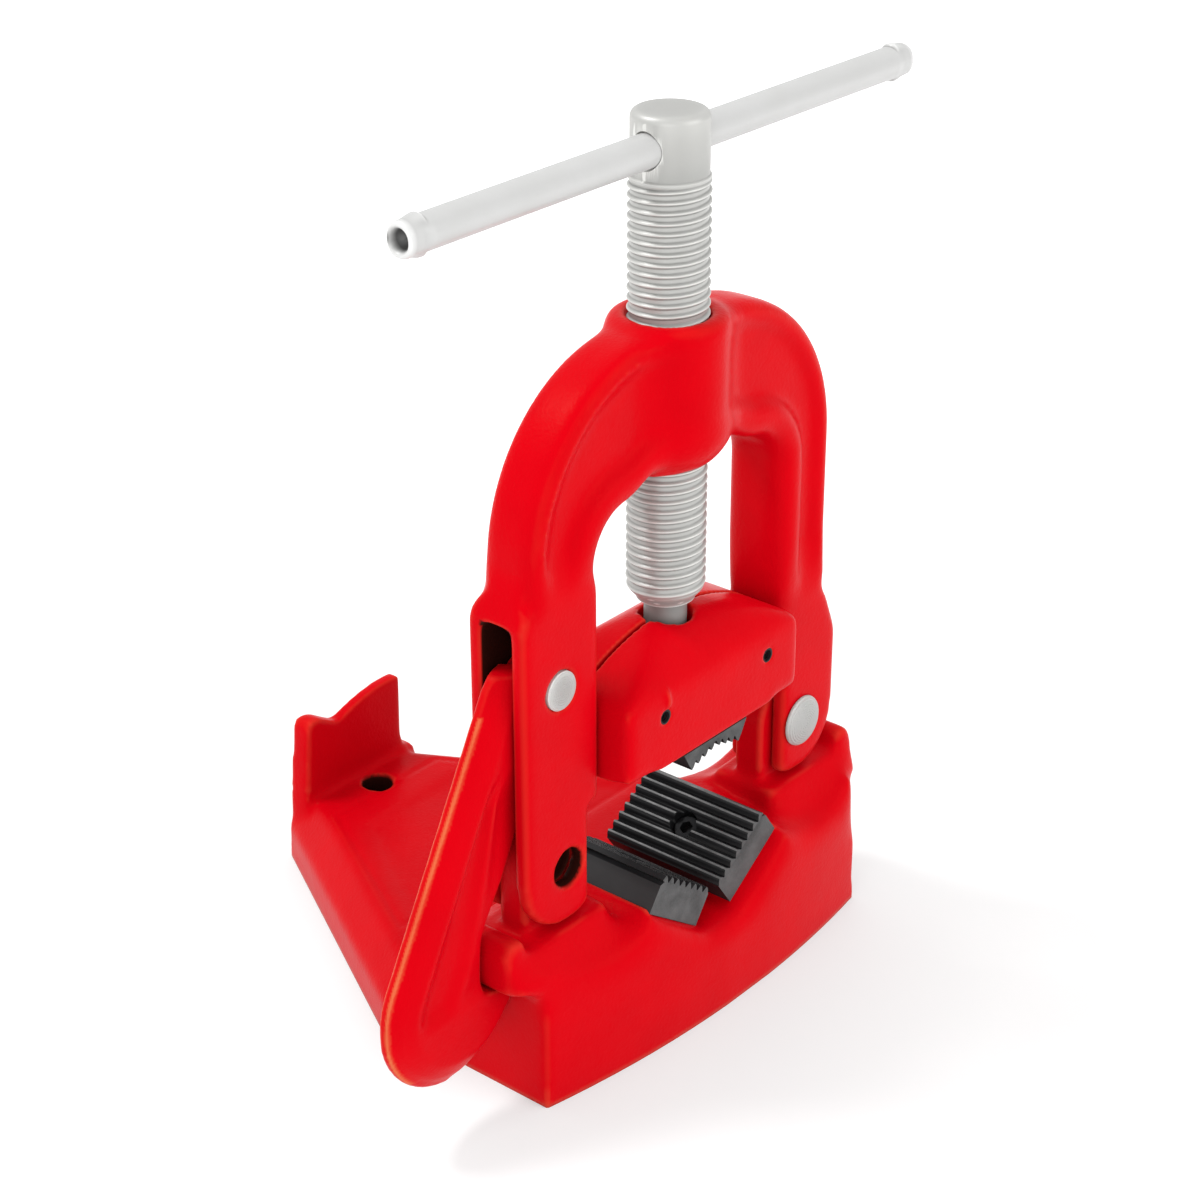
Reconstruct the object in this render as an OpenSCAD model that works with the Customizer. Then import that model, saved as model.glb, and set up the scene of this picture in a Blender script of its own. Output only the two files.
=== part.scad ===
// Yoke pipe vise: a cast foot with a V of two toothed jaws, a hinged yoke that
// carries the clamping screw, a split holder for the upper jaw and a swing latch.
// The origin is on the bench face, under the axis of the screw. +X runs across
// the yoke towards its hinge, +Y runs along the pipe to the rear rest, +Z is up.

/* [Front block] */
// Width of the block under the jaws
block_w = 153; // [140:1:166]
// Depth of the bowed front, from the screw axis to its middle
front_y = 27; // [24:0.5:32]
// Depth of the front at its corner on the latch side
corner_y = 17.5; // [15:0.5:20]
// Depth of the front at its corner on the hinge side
hinge_corner_y = 21.7; // [19:0.1:23]
// Depth of the block behind the screw axis
back_y = 25; // [22:0.5:32]
// Height of the block at its corners
block_h = 49; // [46:0.5:52]
// Radius of the dip in the block's top at each leg
dip_r = 37; // [33:0.5:42]

/* [Shoulders] */
// Height of the shoulder that each leg stands on
saddle_h = 53; // [50.5:0.5:53]
// Height of the end stop at the outside of each shoulder
stop_h = 59; // [55.5:0.5:59.5]
// How far the latch ledge overhangs the side of the block
ledge_out = 10; // [8:0.5:12]
// Depth of the shoulder along the pipe, at its foot
saddle_d = 36; // [34:0.5:40]

/* [Rear ear] */
// Distance from the screw axis to the end of the ear
ear_len = 143; // [138:1:170]
// Width of the ear where it is widest
ear_w = 164; // [158:1:180]
// Width of the ear at its end
ear_tip_w = 53; // [46:1:60]
// Height of the ear's top
ear_h = 24; // [20:0.5:28]
// Width of the slope along the ear's edge
ear_slope = 9; // [6:0.5:11]
// Height of the pipe rest
rest_h = 54; // [48:0.5:64]
// Thickness of the pipe rest
rest_t = 9; // [7:0.5:12]
// Thickness of the cast walls over the hollow underside
cast_wall = 10; // [8:0.5:12]

/* [Mounting holes] */
// Diameter of the circle through the three bolt holes
bolt_pcd = 108; // [102:1:112]
// Diameter of the bolt holes
bolt_d = 10.5; // [8:0.5:12]
// Distance from the end of the ear to the rear bolt hole
bolt_back = 17; // [16:0.5:20]

/* [Lower jaws] */
// Slope of each lower jaw
jaw_angle = 35; // [30:0.5:40]
// Length of a lower jaw up its slope
jaw_l = 28; // [26:0.5:30]
// Width of the lower jaws along the pipe
lower_w = 45.2; // [42:0.2:47]
// Distance from the screw axis to the front ends of the lower jaws
lower_front = 20.2; // [18:0.2:22]
// Thickness of a lower jaw at its tooth tips
jaw_t = 12.6; // [11:0.2:14]
// Gap between the two lower jaws
jaw_gap = 3.2; // [2:0.2:6]
// Height of the lower jaws' inner edge
jaw_z = 41.6; // [40:0.2:44]
// Pitch of the jaw teeth
tooth_pitch = 3.5; // [2.5:0.1:4.5]
// Depth of the jaw teeth
tooth_h = 1.9; // [1:0.1:2.4]
// Diameter of the jaw screws
jaw_screw_d = 5; // [4:0.5:6]

/* [Yoke] */
// Width of the window between the legs
window_w = 86; // [84.8:0.2:88]
// Width of each leg across the window
leg_w = 27.5; // [25:0.5:30]
// Thickness of the legs along the pipe
leg_t = 21.5; // [20:0.5:24]
// Outer radius of the arch's shoulders
arch_r = 55; // [46:0.5:60]
// Height of the arch's top
arch_top = 225; // [216:1:236]
// Height of the window's top corners
window_top = 179; // [174:0.5:184]
// Radius of the window's top corners
window_r = 13; // [8:0.5:16]
// Radius of the round edges of the casting
edge_r = 6; // [4:0.5:8]
// Radius of the screw boss
boss_r = 18; // [16.5:0.5:22]
// Height of the lower end of the screw boss
boss_z = 181; // [177:0.5:186]
// Height of the left foot's flare above the latch pin
left_rise = 24; // [23.5:0.5:28]
// Height of the right foot's flare above the hinge pin
right_rise = 27.5; // [24:0.5:34]
// Width of the slot between the cheeks of each leg
slot_w = 11; // [9:0.5:12]
// Thickness of the web behind the latch slot
slot_web = 6; // [4:0.5:7]

/* [Hinge and latch] */
// Distance of the hinge pin from the screw axis
hinge_x = 57.4; // [57:0.2:58]
// Height of the hinge pin
hinge_z = 72.5; // [72:0.5:76]
// Diameter of the hinge pin
hinge_d = 12; // [10:0.5:13]
// Diameter of the hinge pin's domed heads
head_d = 17; // [15:0.5:20]
// Radius of the rounded lower end of each leg
leg_end_r = 18.5; // [17:0.1:18.6]
// Radius of the lugs that stand between the cheeks
lug_r = 14; // [12:0.2:14.2]
// Distance of the latch pin from the screw axis
latch_x = 60; // [58:0.5:62]
// Height of the latch pin
latch_z = 132.5; // [130:0.5:136]
// Diameter of the latch pin
latch_d = 12; // [10:0.5:13]
// Distance from the latch pin to the face of the hook's nose
hook_r = 94.5; // [92:0.5:95]
// Thickness of the latch
latch_t = 10; // [8:0.5:10.4]
// Thickness of the latch's thin outer rim
rim_t = 4.4; // [3:0.2:6]
// Radius of the latch's round finger grip
grip_r = 28.5; // [26:0.5:31]
// How far outside the latch pin the middle of the grip lies
grip_out = 37.5; // [34:0.5:40]
// How far below the latch pin the middle of the grip lies
grip_drop = 88; // [86:0.5:92]

/* [Upper jaw] */
// Height of the holder's lower face above the bench
holder_z = 95; // [92:0.5:120]
// Height of the holder at its middle
holder_h = 37; // [35:0.5:40]
// Thickness of the holder along the pipe
holder_t = 41; // [38:0.5:44]
// Radius of the holder's arched top
holder_r = 77; // [66:1:90]
// Gap between the two halves of the holder
seam = 1.2; // [0.6:0.2:2]
// Width of the upper jaw
upper_w = 31; // [30:0.5:36]
// Lean of the upper jaw's ends towards its tooth tips
end_lean = 2.8; // [1:0.2:4]
// Width of the upper jaw along the pipe
jaw_w = 40; // [36:0.5:44]
// Depth of the upper jaw below the holder, at its ends
upper_h = 7; // [6:0.5:8]
// Rise of the upper jaw's shallow V
upper_rise = 3.6; // [2:0.2:4]
// Distance of each holder screw from the holder's end
clamp_inset = 17; // [15:0.5:17.5]
// Diameter of the holder screws
clamp_d = 6; // [5:0.5:7]

/* [Screw and handle] */
// Diameter of the screw over its thread
screw_d = 24; // [20:0.5:26]
// Length of the threaded part
thread_len = 126; // [115:1:140]
// Height of the lower end of the thread above the holder's lower face
thread_rise = 45.5; // [42:0.5:50]
// Diameter of the head
head_w = 22.6; // [20:0.2:24]
// Height of the head
head_h = 18.6; // [16:0.2:24]
// Diameter of the neck above the collar
neck_d = 13; // [11:0.5:14]
// Diameter of the collar that the holder grips
collar_d = 20; // [18:0.5:22]
// Diameter of the handle bar
bar_d = 10; // [8:0.5:11]
// Length of the handle bar
bar_len = 222; // [160:1:260]
// Length of the handle bar's swaged ends
bar_end = 9; // [6:0.5:14]
// How far the bar is slid through the head
bar_x = 3; // [-40:1:40]

/* [Clearances] */
// Radial clearance of a pin in its bore
pin_fit = 0.05; // [0.02:0.01:0.1]
// Radial clearance of the screw in its boss
thread_fit = 0.08; // [0.02:0.01:0.1]
// Clearance between faces that pass each other
side_fit = 0.3; // [0.2:0.05:0.5]
// Clearance around the rounded end of a leg
swing_fit = 0.6; // [0.4:0.1:1]
// Clearance between the holder's ends and the legs
holder_fit = 1; // [0.6:0.1:1.6]

/* [Hidden] */
$fn = 64;
paint = "#d8100f";
steel = "#c9c9c6";
black_steel = "#303133";
eps = 0.01;
far = 400;

// Front block and ear
front_bow = front_y - corner_y;
hinge_bow = front_y - hinge_corner_y;
front_cy = (pow(block_w, 2) / 2 + pow(front_bow, 2) + pow(hinge_bow, 2)) / (2 * (front_bow + hinge_bow));
front_cx = (pow(block_w / 2, 2) + pow(hinge_bow, 2) - 2 * front_cy * hinge_bow) / block_w;
front_r = norm([front_cx, front_cy]);
dip_x = block_w / 2 - 22;
dip_floor = block_h - 8.5;
ear_front = 19;
dip_tilt = 6;
ear_wide_y = 44;
ear_straight = 13;
rest_y = ear_len - rest_t;
bolt_y = ear_len - bolt_back - bolt_pcd / 2;
bolt_boss_r = bolt_d / 2 + 6;
panel_depth = 0.8;
hinge_r = hinge_d / 2;
lug_t = slot_w - 2 * side_fit;
cheek_in = hinge_x - 9.5;
cheek_out = hinge_x + leg_end_r;
ledge_x = block_w / 2 + ledge_out;
stop_x = cheek_out + 1.8;
lead_w = 3;
lead_h = 4;
ledge_fit = 0.4;

// Lower jaws
seat_reach = 2;
lower_y = lower_w / 2 - lower_front;
jaw_mid = jaw_l / 2;
cap_r = jaw_screw_d * 0.85;
cap_h = jaw_screw_d;
cap_sink = tooth_h + 1.4;
jaw_screw_len = 20;
teeth = floor(jaw_l / tooth_pitch);

// Yoke
leg_out = window_w / 2 + leg_w;
arch_x = leg_out - arch_r;
arch_z = arch_top - arch_r;
window_peak = boss_z + 3.5;
boss_top = arch_top + 1.5;
flare_h = 15;
left_flare = latch_z + left_rise;
right_flare = hinge_z + right_rise;
slot_top = left_flare - 1;
fork_top = hinge_z + lug_r + 3.5;
gusset_t = leg_t - 2.4;

// Latch
eye_r = latch_d / 2 + 3;
grip_x = latch_x + grip_out;
grip_z = latch_z - grip_drop;
nose_x = block_w / 2 + 0.8;
throat_x = ledge_x + 1.9;
nose_h = 7;

// Upper jaw, holder and screw, all above the holder's lower face
holder_w = window_w - 2 * holder_fit;
clamp_span = holder_w - 2 * clamp_inset;
slot_half = upper_w / 2;
tip_half = slot_half - end_lean;
stem_h = 5;
flange_h = 6;
stem_d = 16;
flange_d = 26;
collar_z = holder_z + 18;
collar_h = 6;
clamp_z = holder_z + 17.5;
clamp_cap_r = clamp_d * 0.8;
clamp_cap_h = clamp_d;
clamp_len = holder_t - 5;
thread_z = holder_z + thread_rise;
taper_h = 4;
head_z = thread_z + thread_len;
screw_top = head_z + head_h;
bar_z = screw_top - 9.8;

// Point on the right lower jaw: u up its slope from the inner edge, v off its tooth tips
function jaw_point(u, v) = [jaw_gap / 2 + u * cos(jaw_angle) - v * sin(jaw_angle),
    jaw_z + u * sin(jaw_angle) + v * cos(jaw_angle)];

// Height of a circle about the latch pin, below the pin, at distance x from the screw axis
function hook_height(x, r) = latch_z - sqrt(r * r - pow(x - latch_x, 2));

// Mirrors a list of outline points across the screw axis, in reverse order
function mirrored(points) = [for (i = [len(points) - 1:-1:0]) [-points[i][0], points[i][1]]];

// An outline in X and Z made a plate of thickness t about the yoke's middle plane
module plate(t) {
    rotate([90, 0, 0]) linear_extrude(height = t, center = true) children();
}

// A round bar along Y through the point x, z
module cross_bar(x, z, r, l) {
    translate([x, 0, z]) rotate([90, 0, 0]) cylinder(r = r, h = l, center = true);
}

module both_sides() {
    children();
    mirror([1, 0, 0]) children();
}

module round_rect(w, h, r) {
    square([w - 2 * r, h], center = true);
    square([w, h - 2 * r], center = true);
    for (sx = [-1, 1], sy = [-1, 1])
        translate([sx * (w / 2 - r), sy * (h / 2 - r)]) circle(r);
}

// A cylinder on the Z axis with rounded rims
module soft_cylinder(r, h, e) {
    rotate_extrude() intersection() {
        union() {
            square([r - e, h]);
            translate([0, e]) square([r, h - 2 * e]);
            for (z = [e, h - e]) translate([r - e, z]) circle(e);
        }
        square([r, h]);
    }
}

// A domed rivet head on the Z axis: a slice of a ball
module dome(d, h) {
    ball = (d * d / 4 + h * h) / (2 * h);
    intersection() {
        translate([0, 0, h - ball]) sphere(ball);
        cylinder(d = d, h = h);
    }
}

module block_outline() {
    intersection() {
        translate([-block_w / 2, -front_y]) square([block_w, front_y + back_y]);
        translate([front_cx, front_cy - front_y]) circle(front_r, $fn = 256);
    }
}

module block() {
    difference() {
        linear_extrude(block_h) block_outline();
        both_sides() translate([dip_x, -front_y, dip_floor + dip_r]) rotate([90 + dip_tilt, 0, 0])
            cylinder(r = dip_r, h = far, center = true);
    }
}

// Shoulder that carries one leg, with the latch ledge and the stop at its outer end
module saddle() {
    low = dip_floor - 6;
    top_d = saddle_d - 12;
    intersection() {
        plate(saddle_d) difference() {
            polygon([[dip_x - 19, low], [dip_x - 13, saddle_h], [stop_x - 0.4, saddle_h],
                [stop_x, stop_h - 2], [stop_x + 2, stop_h], [ledge_x - lead_w, stop_h],
                [ledge_x, stop_h - lead_h], [ledge_x, low], [dip_x, low - 4]]);
            difference() {
                translate([block_w / 2, 0]) square([far, stop_h - 6]);
                translate([latch_x, latch_z]) circle(hook_r - ledge_fit);
            }
        }
        rotate([90, 0, 90]) linear_extrude(far, center = true)
            polygon([[-saddle_d / 2, 0], [saddle_d / 2, 0], [saddle_d / 2, dip_floor],
                [top_d / 2, saddle_h], [top_d / 2, far], [-top_d / 2, far],
                [-top_d / 2, saddle_h], [-saddle_d / 2, dip_floor]]);
    }
}

module hinge_lug() {
    plate(lug_t) {
        translate([hinge_x, hinge_z]) circle(lug_r);
        translate([hinge_x - lug_r, dip_floor]) square([2 * lug_r, hinge_z - dip_floor]);
    }
}

module ear_outline() {
    side = [[block_w / 2, ear_front], [ear_w / 2, ear_wide_y], [ear_tip_w / 2, ear_len]];
    polygon(concat(side, mirrored(side)));
}

module ear() {
    hull() {
        linear_extrude(ear_straight) ear_outline();
        linear_extrude(ear_h) intersection() {
            offset(delta = -ear_slope) ear_outline();
            translate([-far / 2, 0]) square([far, rest_y + 2]);
        }
    }
}

// Upright at the end of the ear: a narrow horn, a notch and a rounded lobe
module pipe_rest() {
    tip = ear_tip_w / 2;
    notch_x = -9;
    lobe_x = 17;
    lobe_r = 59;
    fillet = 7;
    lobe_end = tip - 5.5;
    translate([0, ear_len - rest_t / 2, 0]) plate(rest_t) {
        polygon([[-tip, ear_straight], [-tip + 3.5, rest_h - 2], [-tip + 6, rest_h],
            [-tip + 9, rest_h - 0.5], [notch_x, rest_h - 5.5], [notch_x, ear_straight]]);
        intersection() {
            translate([notch_x, ear_straight]) square([lobe_end - notch_x, rest_h]);
            translate([lobe_x, rest_h + 0.4 - lobe_r]) circle(lobe_r, $fn = 256);
        }
        difference() {
            translate([notch_x, ear_straight])
                square([lobe_end - notch_x + fillet, ear_h - ear_straight + fillet]);
            translate([lobe_end + fillet, ear_h + fillet]) circle(fillet);
        }
    }
}

module bolt_places() {
    for (a = [90, 210, 330])
        translate([bolt_pcd / 2 * cos(a), bolt_y + bolt_pcd / 2 * sin(a), 0]) children();
}

// Hollow under the ear, with a column left round each bolt hole
module underside() {
    translate([0, 0, -1]) linear_extrude(ear_h - cast_wall + 1) difference() {
        offset(delta = -cast_wall) ear_outline();
        bolt_places() circle(bolt_boss_r);
    }
}

// Hollow under one side of the front block, below the leg
module block_hollow() {
    inner = dip_x - 16;
    front = corner_y - cast_wall / 2;
    translate([inner, -front, -1])
        cube([block_w / 2 - cast_wall - inner, front + back_y - cast_wall, dip_floor - 1.4 * cast_wall + 1]);
}

// Sunken field on the ear's top
module panel() {
    side = [[ear_w / 2 - 26, ear_wide_y + 12], [ear_tip_w / 2 - 4, ear_len - 34]];
    translate([0, 0, ear_h - panel_depth]) linear_extrude(far)
        polygon(concat(side, mirrored(side)));
}

module jaw_place() {
    translate([jaw_gap / 2, lower_y, jaw_z]) rotate([0, -jaw_angle, 0]) children();
}

module jaw_seat() {
    side = [jaw_point(-seat_reach, -jaw_t), jaw_point(jaw_l + side_fit, -jaw_t),
        jaw_point(jaw_l + side_fit, jaw_l)];
    plate(2 * front_y + 2) polygon(concat(side, mirrored(side)));
}

module base() color(paint) {
    difference() {
        union() {
            difference() {
                union() {
                    block();
                    both_sides() saddle();
                }
                both_sides() cross_bar(hinge_x, hinge_z, leg_end_r + swing_fit, leg_t + 4 * side_fit);
            }
            both_sides() hinge_lug();
            difference() {
                ear();
                underside();
                panel();
            }
            pipe_rest();
        }
        jaw_seat();
        both_sides() block_hollow();
        both_sides() jaw_place() translate([jaw_mid, 0, -jaw_t - jaw_screw_len])
            cylinder(d = jaw_screw_d + 2 * pin_fit, h = jaw_screw_len + eps);
        cross_bar(hinge_x, hinge_z, hinge_r + pin_fit / 2, lug_t + 1);
        cross_bar(-hinge_x, hinge_z, hinge_r + side_fit, lug_t + 1);
        bolt_places() translate([0, 0, -1]) cylinder(d = bolt_d, h = far);
    }
}

// Right lower jaw: a plain block with a row of teeth and a sunk screw hole
module lower_jaw() color(black_steel) {
    start = (jaw_l - teeth * tooth_pitch) / 2;
    row = [for (i = [0:teeth - 1], p = [[0, -tooth_h], [0.5, 0]])
        [start + (i + p[0]) * tooth_pitch, p[1]]];
    jaw_place() difference() {
        plate(lower_w) polygon(concat([[0, -tooth_h]], row,
            [[jaw_l - start, -tooth_h], [jaw_l, -tooth_h - start],
            [jaw_l, -jaw_t], [0, -jaw_t]]));
        translate([jaw_mid, 0, -jaw_t - 1]) cylinder(d = jaw_screw_d + 4 * pin_fit, h = jaw_t + 2);
        translate([jaw_mid, 0, -cap_sink - cap_h]) cylinder(r = cap_r + side_fit, h = jaw_t);
    }
}

module lower_jaw_left() { mirror([1, 0, 0]) lower_jaw(); }
module lower_jaw_right() { lower_jaw(); }

// Socket head screw on the Z axis, with its head above the origin
module cap_screw(d, head_r, head_l, shank) {
    difference() {
        union() {
            soft_cylinder(head_r, head_l, 0.4);
            translate([0, 0, -shank]) cylinder(d = d, h = shank + 0.5);
        }
        translate([0, 0, head_l * 0.45]) cylinder(d = d * 0.9, h = head_l, $fn = 6);
    }
}

module lower_jaw_screw() color(black_steel) {
    jaw_place() translate([jaw_mid, 0, -cap_sink - cap_h])
        cap_screw(jaw_screw_d, cap_r, cap_h, jaw_t - cap_sink - cap_h + jaw_screw_len - 4);
}

module lower_jaw_screw_left() { mirror([1, 0, 0]) lower_jaw_screw(); }
module lower_jaw_screw_right() { lower_jaw_screw(); }

module hinge_pin() color(steel) {
    half = leg_t / 2 + side_fit;
    cross_bar(hinge_x, hinge_z, hinge_r, 2 * half);
    for (s = [-1, 1])
        translate([hinge_x, s * half, hinge_z]) rotate([-s * 90, 0, 0]) dome(head_d, 2.8);
}

module window_outline() {
    side = [[window_w / 2, 0], [window_w / 2, window_top - window_r],
        [window_w / 2 - window_r, window_top - window_r], [window_w / 2 - window_r, window_top],
        [boss_r - 2, window_peak]];
    polygon(concat(side, mirrored(side)));
    for (s = [-1, 1])
        translate([s * (window_w / 2 - window_r), window_top - window_r]) circle(window_r);
}

// One leg of the yoke and its half of the arch
module half_arch(flare) {
    translate([leg_out - leg_w / 2, 0, flare]) linear_extrude(arch_z - flare)
        round_rect(leg_w, leg_t, edge_r);
    translate([arch_x, 0, arch_z]) rotate([90, 0, 0]) rotate_extrude(angle = 90)
        translate([arch_r - leg_w / 2, 0]) round_rect(leg_w, leg_t, edge_r);
    translate([0, 0, arch_top - leg_w / 2]) rotate([0, 90, 0]) linear_extrude(arch_x)
        round_rect(leg_w, leg_t, edge_r);
}

// Wide foot of a leg, flared out from the leg and rounded about the hinge axis
module leg_foot(flare) {
    plate(leg_t) difference() {
        union() {
            polygon([[window_w / 2, flare + flare_h], [leg_out - 2, flare + flare_h],
                [leg_out, flare + flare_h - 2], [cheek_out, flare], [cheek_out, hinge_z],
                [window_w / 2, hinge_z]]);
            translate([hinge_x, hinge_z]) circle(leg_end_r);
        }
        square([cheek_in, fork_top]);
    }
}

// Thinner web that fills the corner between the arch and the window
module gusset() {
    plate(gusset_t) difference() {
        union() {
            for (s = [-1, 1])
                translate([s * arch_x, arch_z]) circle(arch_r - edge_r);
            translate([-arch_x, arch_z]) square([2 * arch_x, arch_r - edge_r]);
        }
        window_outline();
        translate([-far / 2, 0]) square([far, arch_z - window_r]);
    }
}

module yoke() color(paint) {
    difference() {
        union() {
            half_arch(right_flare);
            mirror([1, 0, 0]) half_arch(left_flare);
            leg_foot(right_flare);
            mirror([1, 0, 0]) leg_foot(left_flare);
            gusset();
            translate([0, 0, boss_z]) soft_cylinder(boss_r, boss_top - boss_z, 3);
        }
        translate([0, 0, boss_z - 1])
            cylinder(d = screw_d + 2 * thread_fit, h = boss_top - boss_z + 2);
        translate([0, -slot_w / 2, 0]) cube([far, slot_w, fork_top]);
        translate([-far, -slot_w / 2, 0]) cube([far, slot_w, fork_top]);
        translate([-far - window_w / 2 - slot_web, -slot_w / 2, 0]) cube([far, slot_w, slot_top]);
        for (s = [-1, 1]) cross_bar(s * hinge_x, hinge_z, hinge_r + pin_fit, leg_t + 1);
        cross_bar(-latch_x, latch_z, latch_d / 2 + pin_fit / 2, leg_t + 1);
    }
}

module latch_pin() color(steel) {
    cross_bar(-latch_x, latch_z, latch_d / 2, leg_t + 1);
}

// Outline of the latch on the hinge side: eye, arm, finger grip and hook
module latch_outline() {
    arm_top = latch_z + eye_r - 1;
    arm_x = latch_x + 20;
    throat_z = hook_height(throat_x, hook_r);
    nose_z = hook_height(nose_x, hook_r);
    knee_z = stop_h + 2;
    translate([latch_x, latch_z]) circle(eye_r);
    difference() {
        union() {
            translate([grip_x, grip_z]) circle(grip_r);
            polygon([[latch_x, arm_top], [arm_x - 3, arm_top], [arm_x, arm_top - 3],
                [grip_x + grip_r * cos(28), grip_z + grip_r * sin(28)],
                [grip_x, grip_z - grip_r], [nose_x + 5, grip_z - 21],
                [nose_x, nose_z - 8], [nose_x, nose_z], [throat_x, throat_z],
                [throat_x, knee_z], [cheek_out + 3, hinge_z + 3], [latch_x + 10, hinge_z + 20],
                [latch_x - eye_r + 3, latch_z - 14], [latch_x - eye_r, latch_z]]);
        }
        intersection() {
            translate([latch_x, latch_z]) circle(hook_r);
            translate([0, 0]) square([throat_x, knee_z]);
        }
        square([nose_x, knee_z]);
        polygon([[0, 0], [0, nose_z - nose_h], [nose_x, nose_z - nose_h],
            [nose_x + 8, nose_z - nose_h - 6.5], [grip_x + 4, grip_z - grip_r], [grip_x + 4, 0]]);
    }
}

module latch() color(paint) {
    mirror([1, 0, 0]) difference() {
        union() {
            plate(rim_t) latch_outline();
            plate(latch_t) offset(r = 2) offset(delta = -6) latch_outline();
            cross_bar(latch_x, latch_z, eye_r, latch_t);
        }
        cross_bar(latch_x, latch_z, latch_d / 2 + pin_fit, latch_t + 1);
    }
}

module screw() color(steel) {
    r = screw_d / 2;
    e = 2.4;
    difference() {
        union() {
            rotate_extrude() polygon([[0, collar_z], [collar_d / 2, collar_z],
                [collar_d / 2, collar_z + collar_h], [neck_d / 2, collar_z + collar_h],
                [neck_d / 2, thread_z - taper_h], [r - 3, thread_z - taper_h], [r, thread_z],
                [r, head_z - 1], [head_w / 2, head_z], [head_w / 2, screw_top - e],
                [0, screw_top - e]]);
            translate([0, 0, screw_top - 3 * e]) soft_cylinder(head_w / 2, 3 * e, e);
        }
        translate([0, 0, bar_z]) rotate([0, 90, 0])
            cylinder(d = bar_d + 3 * pin_fit, h = 2 * screw_d, center = true);
    }
}

// Handle bar with swaged ends that keep it in the head
module handle_bar() color(steel) {
    bump_r = bar_d / 2 + 0.7;
    flat_h = bar_d - 1.8;
    body = bar_len - 2 * bar_end;
    translate([bar_x, 0, bar_z]) rotate([0, 90, 0]) {
        cylinder(d = bar_d, h = body, center = true);
        for (s = [0, 1]) mirror([0, 0, s]) translate([0, 0, body / 2]) intersection() {
            soft_cylinder(bump_r, bar_end, 1.8);
            cube([flat_h, 4 * bump_r, 4 * bar_end], center = true);
        }
    }
}

// Outside of the holder: an arched outline with a rounded section
module holder_form() {
    top = holder_z + holder_h;
    half = holder_t / 2;
    crown_r = 21;
    intersection() {
        plate(holder_t) intersection() {
            translate([-holder_w / 2, holder_z]) square([holder_w, holder_h]);
            translate([0, top - holder_r]) circle(holder_r, $fn = 128);
        }
        rotate([90, 0, 90]) linear_extrude(holder_w + 1, center = true) {
            translate([-half, holder_z]) square([holder_t, holder_h - crown_r]);
            intersection() {
                translate([-half, holder_z]) square([holder_t, holder_h]);
                translate([0, top - crown_r - 2]) circle(crown_r + 2);
            }
        }
    }
}

// Room inside the holder for the upper jaw, the screw's collar and its neck
module holder_hollow() {
    fit = pin_fit;
    translate([-slot_half - fit, 0, holder_z]) rotate([90, 0, 90]) linear_extrude(upper_w + 2 * fit) {
        translate([-stem_d / 2 - fit, -1]) square([stem_d + 2 * fit, stem_h + 2]);
        translate([-flange_d / 2 - fit, stem_h]) square([flange_d + 2 * fit, flange_h + fit]);
    }
    translate([0, 0, collar_z - side_fit])
        cylinder(d = collar_d + 2 * side_fit, h = collar_h + 2 * side_fit);
    translate([0, 0, collar_z]) cylinder(d = neck_d + 3, h = far);
}

module holder_bores() {
    for (s = [-1, 1]) {
        cross_bar(s * clamp_span / 2, clamp_z, clamp_d / 2 + pin_fit, far);
        translate([s * clamp_span / 2, holder_t / 2 - clamp_cap_h - 1.5, clamp_z])
            rotate([-90, 0, 0]) cylinder(r = clamp_cap_r + side_fit, h = far);
    }
}

module half_space(side) {
    translate([-far / 2, side > 0 ? seam / 2 : -far - seam / 2, 0]) cube([far, far, far]);
}

module holder_half(side) color(paint) {
    difference() {
        intersection() {
            holder_form();
            half_space(side);
        }
        holder_hollow();
        holder_bores();
    }
}

module jaw_holder_front() { holder_half(-1); }
module jaw_holder_back() { holder_half(1); }

module holder_screw(side) color(black_steel) {
    translate([side * clamp_span / 2, holder_t / 2 - clamp_cap_h - 1.5, clamp_z]) rotate([-90, 0, 0])
        cap_screw(clamp_d, clamp_cap_r, clamp_cap_h, clamp_len - clamp_cap_h - 1.5);
}

module holder_screw_left() { holder_screw(-1); }
module holder_screw_right() { holder_screw(1); }

// Upper jaw: a toothed slab in a shallow V, with a T-shaped tang in the holder
module upper_jaw() color(black_steel) {
    count = floor(tip_half / tooth_pitch);
    pitch = tip_half / count;
    slope = upper_rise / tip_half;
    right = [for (i = [0:count - 1], p = [[0, tooth_h], [0.5, 0]])
        let (x = (i + p[0]) * pitch) [x, holder_z - upper_h + upper_rise - slope * x + p[1]]];
    outer = [[tip_half, holder_z - upper_h + tooth_h], [slot_half, holder_z]];
    plate(jaw_w) polygon(concat(right, outer, mirrored(outer), mirrored(right)));
    translate([-slot_half, 0, holder_z]) rotate([90, 0, 90]) linear_extrude(upper_w) {
        translate([-stem_d / 2, -eps]) square([stem_d, stem_h + 2 * eps]);
        translate([-flange_d / 2, stem_h]) square([flange_d, flange_h]);
    }
}

base();
lower_jaw_left();
lower_jaw_right();
lower_jaw_screw_left();
lower_jaw_screw_right();
hinge_pin();
yoke();
latch_pin();
latch();
screw();
handle_bar();
jaw_holder_front();
jaw_holder_back();
holder_screw_left();
holder_screw_right();
upper_jaw();
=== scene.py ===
"""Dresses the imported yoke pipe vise: cast and painted bodies, threaded screw,
toothed jaws, pins, handle bar, studio floor and camera."""

import math

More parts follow.
